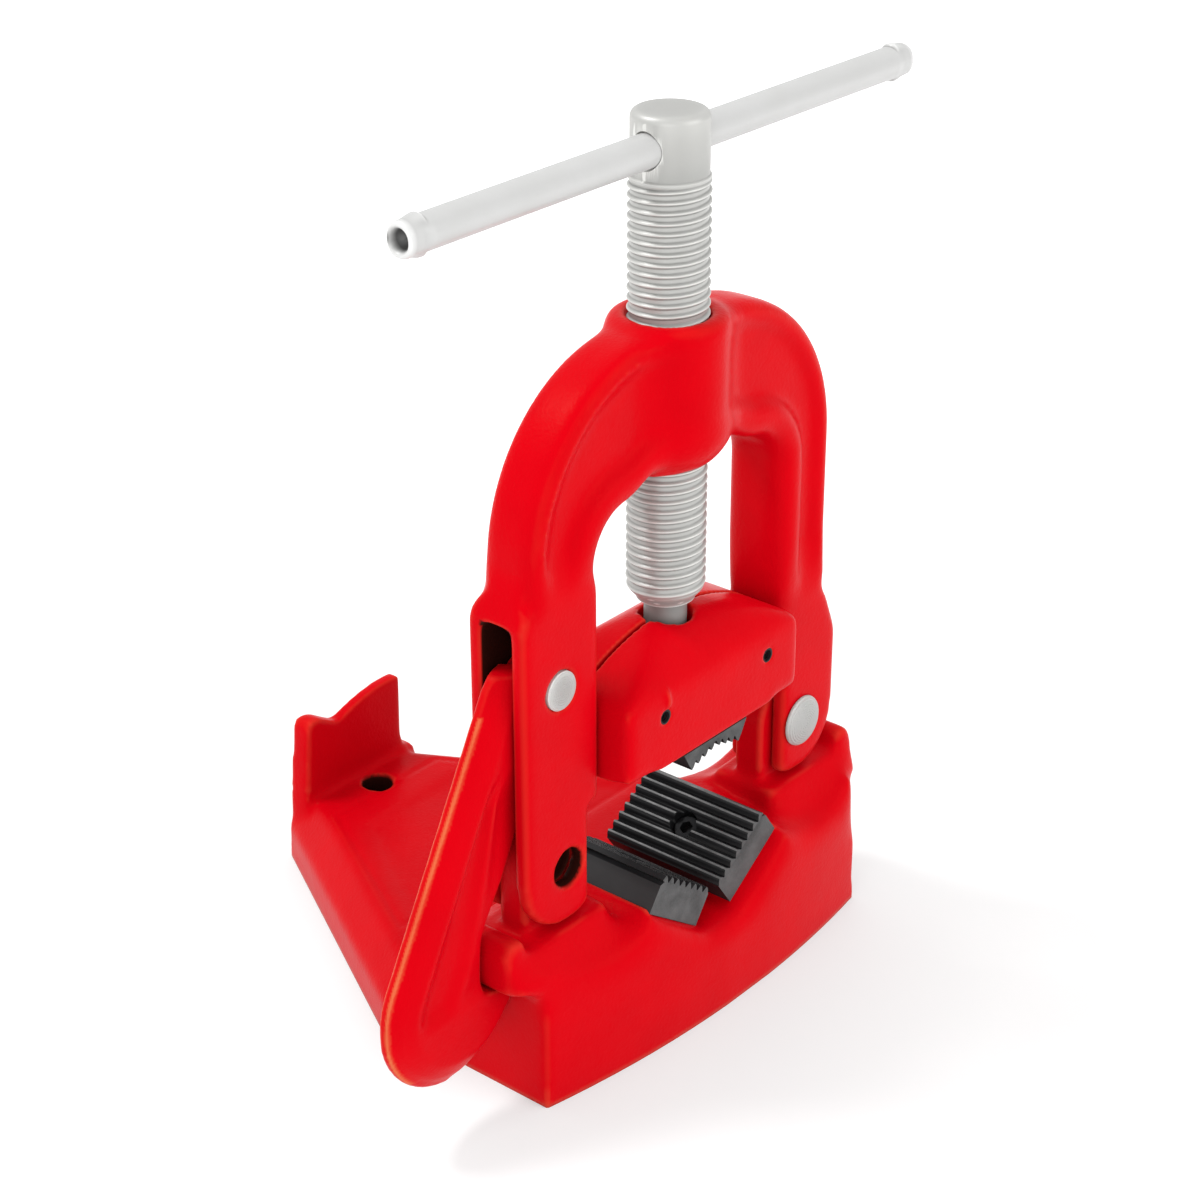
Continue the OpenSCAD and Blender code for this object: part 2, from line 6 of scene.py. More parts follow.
import bmesh
import bpy
import numpy as np
from mathutils import Matrix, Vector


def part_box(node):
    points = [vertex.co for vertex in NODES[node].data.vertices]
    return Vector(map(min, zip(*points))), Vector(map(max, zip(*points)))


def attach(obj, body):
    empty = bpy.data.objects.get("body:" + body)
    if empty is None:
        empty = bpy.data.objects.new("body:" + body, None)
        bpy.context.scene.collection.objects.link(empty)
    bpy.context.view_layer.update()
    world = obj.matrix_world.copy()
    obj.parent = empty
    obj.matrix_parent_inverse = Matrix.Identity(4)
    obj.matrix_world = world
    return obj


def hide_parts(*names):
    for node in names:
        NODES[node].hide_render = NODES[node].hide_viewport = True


bl_info = {
    "name": "Yoke Pipe Vise",
    "version": (1, 0, 0),
    "blender": (4, 5, 0),
    "location": "View3D > Sidebar > Vise",
    "description": "Builds the visible pieces of a yoke pipe vise on its packed solids",
    "category": "Add Mesh",
}

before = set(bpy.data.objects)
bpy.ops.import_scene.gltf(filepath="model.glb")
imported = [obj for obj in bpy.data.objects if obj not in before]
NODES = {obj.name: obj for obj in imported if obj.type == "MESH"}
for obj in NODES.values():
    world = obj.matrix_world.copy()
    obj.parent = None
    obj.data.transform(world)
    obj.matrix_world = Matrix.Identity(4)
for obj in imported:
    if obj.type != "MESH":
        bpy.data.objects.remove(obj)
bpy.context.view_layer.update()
MM = 0.001


def node_size(node):
    """Lowest and highest corner of a CAD node, as two numpy arrays in millimetres."""
    low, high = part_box(node)
    return np.array(low) / MM, np.array(high) / MM


SCREW_HIGH = node_size("screw")[1]
BAR_LOW, BAR_HIGH = node_size("handle_bar")
JAW_LOW, JAW_HIGH = node_size("lower_jaw_right")
UPPER_LOW, UPPER_HIGH = node_size("upper_jaw")

# Places in millimetres, as in the CAD: axes along Y as (x, z), bolt holes as (x, y)
HINGE = (57.4, 72.5)
LATCH_PIN = (-60.0, 132.5)
GRIP, GRIP_RADIUS = (97.5, 44.5), 28.5
HOLDER_HOLE = (25.0, 112.5)
REAR_BOLT, FRONT_BOLT = (0.0, 126.0), (46.77, 45.0)
JAW_CORNER, JAW_TILT = np.array([1.6, 41.6]), math.radians(35)

# Outlines of the yoke: half width, corner radius and the height at which the corners begin
WINDOW, ARCH = (43.0, 13.0, 166.0), (70.5, 55.0, 170.0)


class ViseCastingSettings(bpy.types.PropertyGroup):
    """Sizes that shape the cast and painted bodies."""

    fine_voxel: bpy.props.FloatProperty(
        name="Fine Grain", description="Mesh size on the holder and the latch",
        default=0.7 * MM, min=0.4 * MM, unit="LENGTH")
    coarse_voxel: bpy.props.FloatProperty(
        name="Coarse Grain", description="Mesh size on the yoke and the foot",
        default=1.1 * MM, min=0.6 * MM, unit="LENGTH")
    groove: bpy.props.FloatProperty(
        name="Arch Groove", description="Depth of the shallow groove between the arch's rim and its bead",
        default=2.6 * MM, min=0.0, unit="LENGTH")
    boss_fillet: bpy.props.FloatProperty(
        name="Boss Fillet", description="Width of the soft blend between the boss and the arch",
        default=9.0 * MM, min=1.0 * MM, unit="LENGTH")


class ViseSteelSettings(bpy.types.PropertyGroup):
    """Sizes of the turned and cut steel pieces."""

    pitch: bpy.props.FloatProperty(
        name="Thread Pitch", description="Rise of the clamping screw for one turn",
        default=3.0 * MM, min=1.0 * MM, unit="LENGTH")
    thread_depth: bpy.props.FloatProperty(
        name="Thread Depth", description="Depth of the clamping screw's thread",
        default=0.85 * MM, min=0.2 * MM, unit="LENGTH")
    dimple: bpy.props.FloatProperty(
        name="Bar Dimple", description="Depth of the hollow in the handle bar's ends",
        default=4.2 * MM, min=0.0, unit="LENGTH")
    bevel: bpy.props.FloatProperty(
        name="Jaw Edge", description="Width of the broken edges on the jaws",
        default=0.22 * MM, min=0.0, unit="LENGTH")


class ViseColourSettings(bpy.types.PropertyGroup):
    """Colours of the finishes."""

    paint: bpy.props.FloatVectorProperty(
        name="Paint", description="Colour of the painted castings",
        subtype="COLOR", size=4, min=0.0, max=1.0, default=(0.74, 0.0, 0.006, 1.0))
    zinc: bpy.props.FloatVectorProperty(
        name="Zinc", description="Colour of the clamping screw",
        subtype="COLOR", size=4, min=0.0, max=1.0, default=(0.78, 0.78, 0.75, 1.0))
    bar: bpy.props.FloatVectorProperty(
        name="Bar", description="Colour of the handle bar",
        subtype="COLOR", size=4, min=0.0, max=1.0, default=(0.98, 0.98, 0.96, 1.0))
    pin: bpy.props.FloatVectorProperty(
        name="Pin", description="Colour of the pins' ends",
        subtype="COLOR", size=4, min=0.0, max=1.0, default=(0.80, 0.80, 0.78, 1.0))
    jaw: bpy.props.FloatVectorProperty(
        name="Jaw", description="Colour of the blackened jaws",
        subtype="COLOR", size=4, min=0.0, max=1.0, default=(0.012, 0.012, 0.013, 1.0))


class ViseSettings(bpy.types.PropertyGroup):
    """All settings of the vise."""

    castings: bpy.props.PointerProperty(
        name="Castings", description="Shape of the painted castings", type=ViseCastingSettings)
    steel: bpy.props.PointerProperty(
        name="Steel", description="Shape of the steel pieces", type=ViseSteelSettings)
    colours: bpy.props.PointerProperty(
        name="Colours", description="Colours of the finishes", type=ViseColourSettings)


def settings():
    return bpy.context.scene.vise


# Mesh helpers


def smooth_step(x, low, high):
    """0 below low, 1 above high, and a cubic ease between them."""
    t = np.clip((x - low) / (high - low), 0.0, 1.0)
    return t * t * (3 - 2 * t)


def soft_max(a, b, width):
    """The larger of two surfaces, with a round fillet where they are within width of each other."""
    h = np.clip(0.5 + 0.5 * (a - b) / width, 0.0, 1.0)
    return b + (a - b) * h + width * h * (1 - h)


def quarter_round(t):
    """Fall of a rounded edge: a quarter of an ellipse from 0 at t = 0 to 1 at t = 1."""
    return 1 - np.sqrt(1 - np.clip(t, 0, 1) ** 2)


def off_axis(x, z, axis):
    """Distance of points from an axis along Y."""
    return np.hypot(x - axis[0], z - axis[1])


def off_bolts(x, y):
    """Distance of points from the nearest axis of the foot's three bolt holes."""
    return np.minimum(np.hypot(x - REAR_BOLT[0], y - REAR_BOLT[1]),
                      np.hypot(np.abs(x) - FRONT_BOLT[0], y - FRONT_BOLT[1]))


def add_object(name, mesh, material, body, slot, *replaced):
    """Puts a mesh in the scene as a piece that rides on a body and stands for CAD nodes."""
    mesh.materials.clear()
    mesh.materials.append(material)
    piece = bpy.data.objects.new(name, mesh)
    bpy.context.scene.collection.objects.link(piece)
    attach(piece, body)
    if replaced:
        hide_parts(*replaced)
    return piece


def mesh_from(name, points, faces, smooth=True):
    """A mesh from points in millimetres and a list of faces."""
    mesh = bpy.data.meshes.new(name)
    mesh.from_pydata((np.asarray(points, float) * MM).tolist(), [], faces)
    mesh.validate()
    mesh.polygons.foreach_set("use_smooth", np.full(len(mesh.polygons), smooth))
    mesh.update()
    return mesh


def grid_faces(rows, columns, wrap):
    """Quads of a grid of rows by columns; with wrap the last column meets the first."""
    r, c = np.meshgrid(np.arange(rows - 1), np.arange(columns if wrap else columns - 1), indexing="ij")
    n = (c + 1) % columns
    return np.stack([r * columns + c, r * columns + n, (r + 1) * columns + n,
                     (r + 1) * columns + c], -1).reshape(-1, 4)


def tube(rings):
    """Closed skin through rings of points (rows, columns, 3), with a flat cap on each end."""
    rows, columns = rings.shape[:2]
    faces = grid_faces(rows, columns, True).tolist()
    faces.append(np.arange(columns)[::-1].tolist())
    faces.append((np.arange(columns) + (rows - 1) * columns).tolist())
    return rings.reshape(-1, 3), faces


def turned(profile, sides):
    """A profile of (radius, height) points turned about Z: x = r cos a, y = r sin a."""
    a = np.linspace(0, 2 * np.pi, sides, endpoint=False)
    r, z = np.asarray(profile, float).T
    return np.stack([r[:, None] * np.cos(a), r[:, None] * np.sin(a),
                     np.repeat(z[:, None], sides, 1)], -1)


def prism(outline, low, high):
    """An outline of (x, z) points carried along Y from low to high."""
    x, z = np.asarray(outline, float).T
    return tube(np.stack([np.stack([x, np.full(len(x), y), z], -1) for y in (high, low)]))


def face_outwards(mesh):
    """Turns all faces of a closed mesh outwards."""
    b = bmesh.new()
    b.from_mesh(mesh)
    bmesh.ops.recalc_face_normals(b, faces=b.faces)
    b.to_mesh(mesh)
    b.free()
    return mesh


def finished(mesh, build):
    """A new mesh with the modifiers that build adds to a scratch object worked in."""
    scratch = bpy.data.objects.new("scratch", mesh)
    bpy.context.scene.collection.objects.link(scratch)
    build(scratch)
    bpy.context.view_layer.update()
    done = bpy.data.meshes.new_from_object(
        scratch.evaluated_get(bpy.context.evaluated_depsgraph_get()))
    bpy.data.objects.remove(scratch)
    return done


def merged_copy(node):
    """A copy of a CAD node's mesh with its loose triangles joined."""
    b = bmesh.new()
    b.from_mesh(NODES[node].data)
    bmesh.ops.remove_doubles(b, verts=b.verts, dist=1e-6)
    mesh = bpy.data.meshes.new(node + "_copy")
    b.to_mesh(mesh)
    b.free()
    return mesh


def with_shells(mesh, shells):
    """A mesh with more closed shells beside it, each given as points in millimetres and faces."""
    b = bmesh.new()
    b.from_mesh(mesh)
    for points, faces in shells:
        extra = face_outwards(mesh_from("shell", points, faces))
        b.from_mesh(extra)
        bpy.data.meshes.remove(extra)
    b.to_mesh(mesh)
    b.free()
    return mesh


def recast(mesh, voxel):
    """One even skin over all shells of a mesh, from a voxel remesh."""
    def build(scratch):
        m = scratch.modifiers.new("skin", "REMESH")
        m.mode = "VOXEL"
        m.voxel_size = voxel
        m.use_smooth_shade = True
    return finished(mesh, build)


def cut_away(mesh, points, faces):
    """A mesh with a closed shell cut out of it."""
    cutter = bpy.data.objects.new("cutter", face_outwards(mesh_from("cutter", points, faces)))
    bpy.context.scene.collection.objects.link(cutter)

    def build(scratch):
        m = scratch.modifiers.new("cut", "BOOLEAN")
        m.operation = "DIFFERENCE"
        m.solver = "EXACT"
        m.object = cutter
    mesh = finished(mesh, build)
    bpy.data.objects.remove(cutter)
    return mesh


def on_solid(mesh, node, weight):
    """Draws the points of a mesh back to the CAD node's surface by their weight."""
    def build(scratch):
        group = scratch.vertex_groups.new(name="draw")
        steps = np.round(weight * 10).astype(int)
        for step in range(1, 11):
            group.add(np.flatnonzero(steps == step).tolist(), step / 10, "REPLACE")
        m = scratch.modifiers.new("draw", "SHRINKWRAP")
        m.target = NODES[node]
        m.wrap_method = "NEAREST_SURFACEPOINT"
        m.vertex_group = "draw"
    return finished(mesh, build)


def points_of(mesh):
    """Points of a mesh in millimetres."""
    co = np.empty(len(mesh.vertices) * 3)
    mesh.vertices.foreach_get("co", co)
    return co.reshape(-1, 3) / MM


def normals_of(mesh):
    """Normals at the points of a mesh."""
    n = np.empty(len(mesh.vertices) * 3)
    mesh.vertices.foreach_get("normal", n)
    return n.reshape(-1, 3)


def set_points(mesh, points):
    mesh.vertices.foreach_set("co", (points * MM).ravel())
    mesh.update()


def relax(mesh, weight, rounds):
    """Moves each point towards the mean of its neighbours by its weight, a number of times,
    which rounds the edges of a cast body as sand and paint do."""
    edges = np.empty(len(mesh.edges) * 2, int)
    mesh.edges.foreach_get("vertices", edges)
    i, j = edges.reshape(-1, 2).T
    p = points_of(mesh)
    n = len(p)
    count = np.maximum(np.bincount(i, minlength=n) + np.bincount(j, minlength=n), 1)[:, None]
    w = np.broadcast_to(weight, n)[:, None] * 0.5
    for _ in range(rounds):
        total = np.stack([np.bincount(i, p[j, k], n) + np.bincount(j, p[i, k], n) for k in range(3)], 1)
        p = p + w * (total / count - p)
    set_points(mesh, p)


def mark(mesh, name, values):
    """Writes one value for each point of a mesh as an attribute that its finish reads."""
    layer = mesh.attributes.new(name, "FLOAT", "POINT")
    layer.data.foreach_set("value", np.asarray(values, np.float32))


def shade_smooth(mesh, sharp=None):
    """Smooth shading, with hard breaks where faces meet at more than sharp degrees."""
    mesh.polygons.foreach_set("use_smooth", np.ones(len(mesh.polygons), bool))
    if sharp:
        mesh.set_sharp_from_angle(angle=math.radians(sharp))
    return mesh


# Finishes

# Painted highlight: lighter orange for the convex edges of the paint
EDGE_HIGHLIGHT_PAINT = (0.84, 0.11, 0.055, 1.0)
# Wear and painted highlight: orange for the marked rim of the latch
WORN_PAINT_AND_HIGHLIGHT = (0.80, 0.18, 0.07, 1.0)
# Painted shade and bare iron: dark brown for marked bores, the latch's slot and the hinge lug's ring
BORE_SHADE_AND_BARE_IRON = (0.028, 0.006, 0.004, 1.0)
PAINT_BOUNCE = (0.22, 0.18, 0.18, 1.0)
GROUND_DARK, GROUND_LIGHT = (0.15, 0.15, 0.15, 1.0), (0.33, 0.33, 0.33, 1.0)
RUBBED_STEEL = (0.30, 0.30, 0.30, 1.0)


def group_nodes(name, inputs, outputs):
    """A new shader node group with its named float inputs and outputs."""
    group = bpy.data.node_groups.new(name, "ShaderNodeTree")
    for label, default in inputs:
        socket = group.interface.new_socket(label, in_out="INPUT", socket_type="NodeSocketFloat")
        socket.default_value = default
    for label in outputs:
        group.interface.new_socket(label, in_out="OUTPUT", socket_type="NodeSocketFloat")
    return group, group.nodes.new("NodeGroupInput"), group.nodes.new("NodeGroupOutput")


def math_node(tree, kind, a, b):
    """A math node with sockets or numbers on its two inputs."""
    node = tree.nodes.new("ShaderNodeMath")
    node.operation = kind
    for socket, value in zip(node.inputs, (a, b)):
        if isinstance(value, (int, float)):
            socket.default_value = value
        else:
            tree.links.new(value, socket)
    return node.outputs[0]


def noise_node(tree, scale, detail, roughness=0.5):
    """Noise on object coordinates, with its scale from a socket or a number."""
    place = tree.nodes.new("ShaderNodeTexCoord")
    node = tree.nodes.new("ShaderNodeTexNoise")
    tree.links.new(place.outputs["Object"], node.inputs["Vector"])
    node.inputs["Detail"].default_value = detail
    node.inputs["Roughness"].default_value = roughness
    if isinstance(scale, (int, float)):
        node.inputs["Scale"].default_value = scale
    else:
        tree.links.new(scale, node.inputs["Scale"])
    return node.outputs[0]


def cast_grain_group():
    """Grain of a sand casting under paint: broad waves, fine pits and a tone that varies slowly."""
    group, start, end = group_nodes("Cast Grain", [("Wave Scale", 60.0), ("Grain Scale", 900.0)],
                                    ["Height", "Tone"])
    wave = noise_node(group, start.outputs["Wave Scale"], 2.0)
    grain = noise_node(group, start.outputs["Grain Scale"], 3.0, 0.6)
    height = math_node(group, "ADD", math_node(group, "MULTIPLY", wave, 0.65),
                       math_node(group, "MULTIPLY", grain, 0.35))
    group.links.new(height, end.inputs["Height"])
    tone = noise_node(group, math_node(group, "MULTIPLY", start.outputs["Wave Scale"], 0.6), 4.0)
    group.links.new(tone, end.inputs["Tone"])
    return group


def edge_group():
    """Mask of convex edges, from how sharply the surface bends."""
    group, start, end = group_nodes("Edge Mask", [("Low", 0.52), ("High", 0.62)], ["Mask"])
    bend = group.nodes.new("ShaderNodeNewGeometry")
    span = group.nodes.new("ShaderNodeMapRange")
    span.clamp = True
    group.links.new(bend.outputs["Pointiness"], span.inputs["Value"])
    group.links.new(start.outputs["Low"], span.inputs["From Min"])
    group.links.new(start.outputs["High"], span.inputs["From Max"])
    group.links.new(span.outputs["Result"], end.inputs["Mask"])
    return group


def group_of(name, make):
    """The node group of a name, built on its first use."""
    return bpy.data.node_groups.get(name) or make()


def place_group(tree, group, values):
    """A node for a group, with its own values on the group's inputs."""
    node = tree.nodes.new("ShaderNodeGroup")
    node.node_tree = group
    for label, value in values.items():
        node.inputs[label].default_value = value
    return node


def mix_colour(tree, mask, a, b):
    """Colour a where the mask is 0 and b where it is 1; a and b are sockets or colours."""
    node = tree.nodes.new("ShaderNodeMix")
    node.data_type = "RGBA"
    tree.links.new(mask, node.inputs["Factor"])
    for socket, value in ((node.inputs[6], a), (node.inputs[7], b)):
        if isinstance(value, bpy.types.NodeSocket):
            tree.links.new(value, socket)
        else:
            socket.default_value = value
    return node.outputs[2]


def ranged(tree, value, low, high):
    """Spreads a value between 0 and 1 over low to high."""
    node = tree.nodes.new("ShaderNodeMapRange")
    tree.links.new(value, node.inputs["Value"])
    node.inputs["To Min"].default_value = low
    node.inputs["To Max"].default_value = high
    return node.outputs["Result"]


def new_material(name):
    """An empty node material with its Principled shader."""
    material = bpy.data.materials.new(name)
    material.use_nodes = True
    tree = material.node_tree
    return material, tree, tree.nodes["Principled BSDF"]


def bump(tree, shader, height, strength, distance):
    """Raises the shader's surface by a height, in place of a height that was given before."""
    node = tree.nodes.get("Bump") or tree.nodes.new("ShaderNodeBump")
    node.inputs["Strength"].default_value = strength
    node.inputs["Distance"].default_value = distance
    tree.links.new(height, node.inputs["Height"])
    tree.links.new(node.outputs["Normal"], shader.inputs["Normal"])


def marked(tree, name):
    """The value of a mesh attribute, which is 0 on a mesh that has none."""
    node = tree.nodes.new("ShaderNodeAttribute")
    node.attribute_name = name
    return node.outputs["Fac"]


def shade(colour, factor):
    """A colour made darker or lighter by a factor."""
    return tuple(min(1.0, c * factor) for c in colour[:3]) + (1.0,)


def grained(name, wave, grain, low, high):
    """A new material with cast grain at a broad and a fine scale and a mask of the edges that
    bend from low to high; gives its tree, shader, height, tone and mask too."""
    material, tree, shader = new_material(name)
    cast = place_group(tree, group_of("Cast Grain", cast_grain_group),
                       {"Wave Scale": wave, "Grain Scale": grain})
    edge = place_group(tree, group_of("Edge Mask", edge_group), {"Low": low, "High": high})
    return material, tree, shader, cast.outputs["Height"], cast.outputs["Tone"], edge.outputs["Mask"]


def cast_paint():
    """Semi-gloss red paint over cast grain, with a painted highlight that makes it lighter orange on its
    convex edges.
    Where the mesh marks wear it turns orange, as real wear and as a painted highlight along the latch's rim;
    where the mesh marks bore shade and bare iron it is dark brown, painted shade in the holes and the latch's
    slot that stands partly for bare iron. Light that it throws on other faces is greyer than the paint, so
    its red stays off the floor and the steel."""
    if bpy.data.materials.get("cast_paint"):
        return bpy.data.materials["cast_paint"]
    red = tuple(settings().colours.paint)
    material, tree, shader, height, tone, edge = grained("cast_paint", 70.0, 850.0, 0.515, 0.60)
    body = mix_colour(tree, tone, shade(red, 0.86), shade(red, 1.04))
    # Painted highlight: convex edges are drawn lighter orange
    thin = mix_colour(tree, math_node(tree, "MULTIPLY", edge, 0.65), body, EDGE_HIGHLIGHT_PAINT)
    # Wear and painted highlight: the marked rim turns orange, unevenly with the tone
    rubbed = math_node(tree, "MULTIPLY", marked(tree, "worn_and_highlight"), ranged(tree, tone, 0.4, 1.2))
    worn_and_highlight = mix_colour(tree, rubbed, thin, WORN_PAINT_AND_HIGHLIGHT)
    # Painted shade, partly bare iron: marked bores, slot and lug ring are drawn dark brown
    bore_shaded = mix_colour(tree, marked(tree, "bare_iron_and_shade"), worn_and_highlight, BORE_SHADE_AND_BARE_IRON)
    path = tree.nodes.new("ShaderNodeLightPath")
    bounce = math_node(tree, "MULTIPLY", path.outputs["Is Diffuse Ray"], 0.8)
    tree.links.new(mix_colour(tree, bounce, bore_shaded, PAINT_BOUNCE), shader.inputs["Base Color"])
    tree.links.new(ranged(tree, tone, 0.26, 0.38), shader.inputs["Roughness"])
    shader.inputs["Specular IOR Level"].default_value = 0.05
    shader.inputs["Specular Tint"].default_value = (1.0, 0.42, 0.26, 1.0)
    bump(tree, shader, height, 0.4, 0.0009)
    return material


def bright_steel(name, colour, metallic, rough, grain):
    """Bright zinc or steel with fine grain, brighter on its edges and darker in its creases and thread roots
    as painted shade, and darkest where the mesh marks painted shade in a hollow."""
    if bpy.data.materials.get(name):
        return bpy.data.materials[name]
    material, tree, shader, height, tone, edge = grained(name, 160.0, grain, 0.455, 0.57)
    body = mix_colour(tree, tone, shade(colour, 0.9), shade(colour, 1.05))
    # Painted shade: creases, thread roots and flats are drawn darker than convex edges
    lit = mix_colour(tree, edge, shade(colour, 0.3), body)
    # Painted shade: points marked as a hollow's shade are drawn almost black
    hollow = mix_colour(tree, marked(tree, "hollow"), lit, shade(colour, 0.08))
    tree.links.new(hollow, shader.inputs["Base Color"])
    shader.inputs["Metallic"].default_value = metallic
    tree.links.new(ranged(tree, height, rough - 0.06, rough + 0.08), shader.inputs["Roughness"])
    bump(tree, shader, height, 0.25, 0.0002)
    return material


def black_steel():
    """Blackened steel, rubbed to grey along its sharp edges and speckled grey where the mesh
    says ground."""
    if bpy.data.materials.get("black_steel"):
        return bpy.data.materials["black_steel"]
    dark = tuple(settings().colours.jaw)
    material, tree, shader, height, tone, edge = grained("black_steel", 220.0, 2200.0, 0.53, 0.66)
    body = mix_colour(tree, tone, shade(dark, 0.7), shade(dark, 1.7))
    speckle = mix_colour(tree, ranged(tree, height, -0.9, 1.9), GROUND_DARK, GROUND_LIGHT)
    ground = mix_colour(tree, marked(tree, "ground"), body, speckle)
    rubbed = mix_colour(tree, math_node(tree, "MULTIPLY", edge, 0.15), ground, RUBBED_STEEL)
    tree.links.new(rubbed, shader.inputs["Base Color"])
    shader.inputs["Metallic"].default_value = 0.1
    shader.inputs["Specular IOR Level"].default_value = 0.05
    tree.links.new(ranged(tree, tone, 0.34, 0.52), shader.inputs["Roughness"])
    bump(tree, shader, height, 0.3, 0.0002)
    return material


def turned_group():
    """Fine rings about an axis along Y through X and Z, as left by turning."""
    group, start, end = group_nodes("Turned Rings", [("X", 0.0), ("Z", 0.0), ("Spacing", 0.0008)],
                                    ["Height"])
    place = group.nodes.new("ShaderNodeTexCoord")
    parts = group.nodes.new("ShaderNodeSeparateXYZ")
    group.links.new(place.outputs["Object"], parts.inputs[0])
    x = math_node(group, "SUBTRACT", parts.outputs["X"], start.outputs["X"])
    z = math_node(group, "SUBTRACT", parts.outputs["Z"], start.outputs["Z"])
    far = math_node(group, "SQRT", math_node(group, "ADD", math_node(group, "MULTIPLY", x, x),
                                             math_node(group, "MULTIPLY", z, z)), 0.0)
    turns = math_node(group, "DIVIDE", far, start.outputs["Spacing"])
    wave = math_node(group, "SINE", math_node(group, "MULTIPLY", turns, 2 * math.pi), 0.0)
    height = math_node(group, "ADD", math_node(group, "MULTIPLY", wave, 0.5), 0.5)
    group.links.new(height, end.inputs["Height"])
    return group


def screw_zinc():
    """Satin zinc of the clamping screw."""
    return bright_steel("screw_zinc", tuple(settings().colours.zinc), 0.3, 0.42, 1500.0)


def bar_zinc():
    """Bright zinc of the handle bar."""
    return bright_steel("bar_zinc", tuple(settings().colours.bar), 0.05, 0.36, 1200.0)


def pin_bright(axis):
    """Bright rough steel with turning rings about a pin's axis."""
    name = "pin_bright_%d" % round(abs(axis[0]))
    material = bright_steel(name, tuple(settings().colours.pin), 0.35, 0.45, 2400.0)
    tree = material.node_tree
    rings = place_group(tree, group_of("Turned Rings", turned_group),
                        {"X": axis[0] * MM, "Z": axis[1] * MM, "Spacing": 0.00075})
    pits = noise_node(tree, 1500.0, 4.0, 0.7)
    height = math_node(tree, "ADD", math_node(tree, "MULTIPLY", rings.outputs["Height"], 0.35), pits)
    bump(tree, tree.nodes["Principled BSDF"], height, 0.8, 0.0005)
    return material


# Castings


def past_outline(x, z, half, corner, spring):
    """Distance past an upright outline with round upper corners, negative within it."""
    bend = np.hypot(np.maximum(x - (half - corner), 0), np.maximum(z - spring, 0)) - corner
    return np.where(z > spring, bend, x - half)


def arch_face(x, z):
    """Half thickness of the yoke's arch over the plane of the window: full at the outer rim
    and along the window's bead, with a shallow groove between them, and raised into the boss
    by a round fillet. Inner and outer are the distances from the window, which reaches higher
    under the boss, and from the arch's outside."""
    s = settings().castings
    ax = np.abs(x)
    half, drop = 10.75, 0.7
    lift = 5.5 * (1 - smooth_step(ax, 15.0, 32.0))
    inner = past_outline(ax, z - lift, *WINDOW)
    outer = -past_outline(ax, z, *ARCH)
    fade = np.where(x < 0, smooth_step(z, 159.0, 176.0), smooth_step(z, 114.0, 138.0))
    groove = smooth_step(inner, 9.0, 14.5) * smooth_step(outer, 4.0, 9.5)
    bead = 1.9 * (1 - ((inner - 6.0) / 6.5) ** 2).clip(0, 1)
    face = half + fade * (bead - drop - s.groove / MM * groove)
    face = face - 4.0 * quarter_round(1 - outer / 5.0) - 4.5 * quarter_round(1 - inner / 5.5)
    boss = np.where(ax < 13.5, np.sqrt(np.maximum(18.0 ** 2 - ax ** 2, 0)), 11.9 - (ax - 13.5) * 1.05)
    under, over = 8.0 * quarter_round((193.0 - z) / 12.0), 3.0 * quarter_round((z - 222.0) / 4.5)
    return soft_max(face, boss - under - over, s.boss_fillet / MM)


def bored_wall(distance, radius, along):
    """1 on the wall of a bore of a radius, from the distance to its axis and the part of the
    normal along that axis, and 0 a millimetre outside it or on the face round its mouth."""
    return (1 - smooth_step(distance, radius, radius + 1.0)) * (1 - smooth_step(np.abs(along), 0.5, 0.9))


class VISE_OT_yoke(bpy.types.Operator):
    """Cast yoke: the solid's skin, remeshed, with its arch shaped to rim, groove and bead"""

    bl_idname = "vise.yoke"
    bl_label = "Cast Yoke"

    def execute(self, context):
        voxel = settings().castings.coarse_voxel
        mesh = recast(merged_copy("yoke"), voxel)
        p, n = points_of(mesh), normals_of(mesh)
        x, y, z = p.T
        # The faces of the arch, which reach lower on the hinge's leg, take the shape of arch_face
        upper = smooth_step(z, 176.0, 182.0)
        right = (x > 0) * smooth_step(z, 114.0, 122.0)
        left = (x < 0) * smooth_step(z, 158.0, 164.0)
        area = np.maximum(upper, np.maximum(right, left))
        outside = np.hypot(x, y) > 12.9
        flat = smooth_step(np.abs(n[:, 1]), 0.25, 0.75) * (np.abs(y) > 6.0) * area * outside
        face = arch_face(x, z)
        side = flat * (np.sign(y) * face) + (1 - flat) * np.clip(y, -face, face)
        p[:, 1] = np.where(area * outside > 0.01, y + np.maximum(flat, area) * (side - y), y)
        set_points(mesh, p)
        mesh = recast(mesh, voxel)
        # All edges are rounded but those of the screw's bore and of the pins' holes
        x, y, z = points_of(mesh).T
        bore = smooth_step(np.hypot(x, y), 12.6, 15.5)
        pins = np.minimum(off_axis(np.abs(x), z, HINGE), off_axis(x, z, LATCH_PIN))
        relax(mesh, np.maximum(np.minimum(bore, smooth_step(pins, 6.5, 9.0)), 0.1), 9)
        x, y, z = points_of(mesh).T
        # Painted shade, partly bare iron: the hinge pin's hole and the inside of the latch's slot are marked
        # dark
        hole = bored_wall(off_axis(-x, z, HINGE), 6.2, normals_of(mesh)[:, 1])
        slot = (np.abs(y) < 5.75) & (x < -48.0) & (z > 92.0) & (z < 155.8)
        mark(mesh, "bare_iron_and_shade", np.maximum(hole, slot))
        add_object("yoke_casting", shade_smooth(mesh), cast_paint(), "yoke", "red_paint", "yoke")
        return {"FINISHED"}


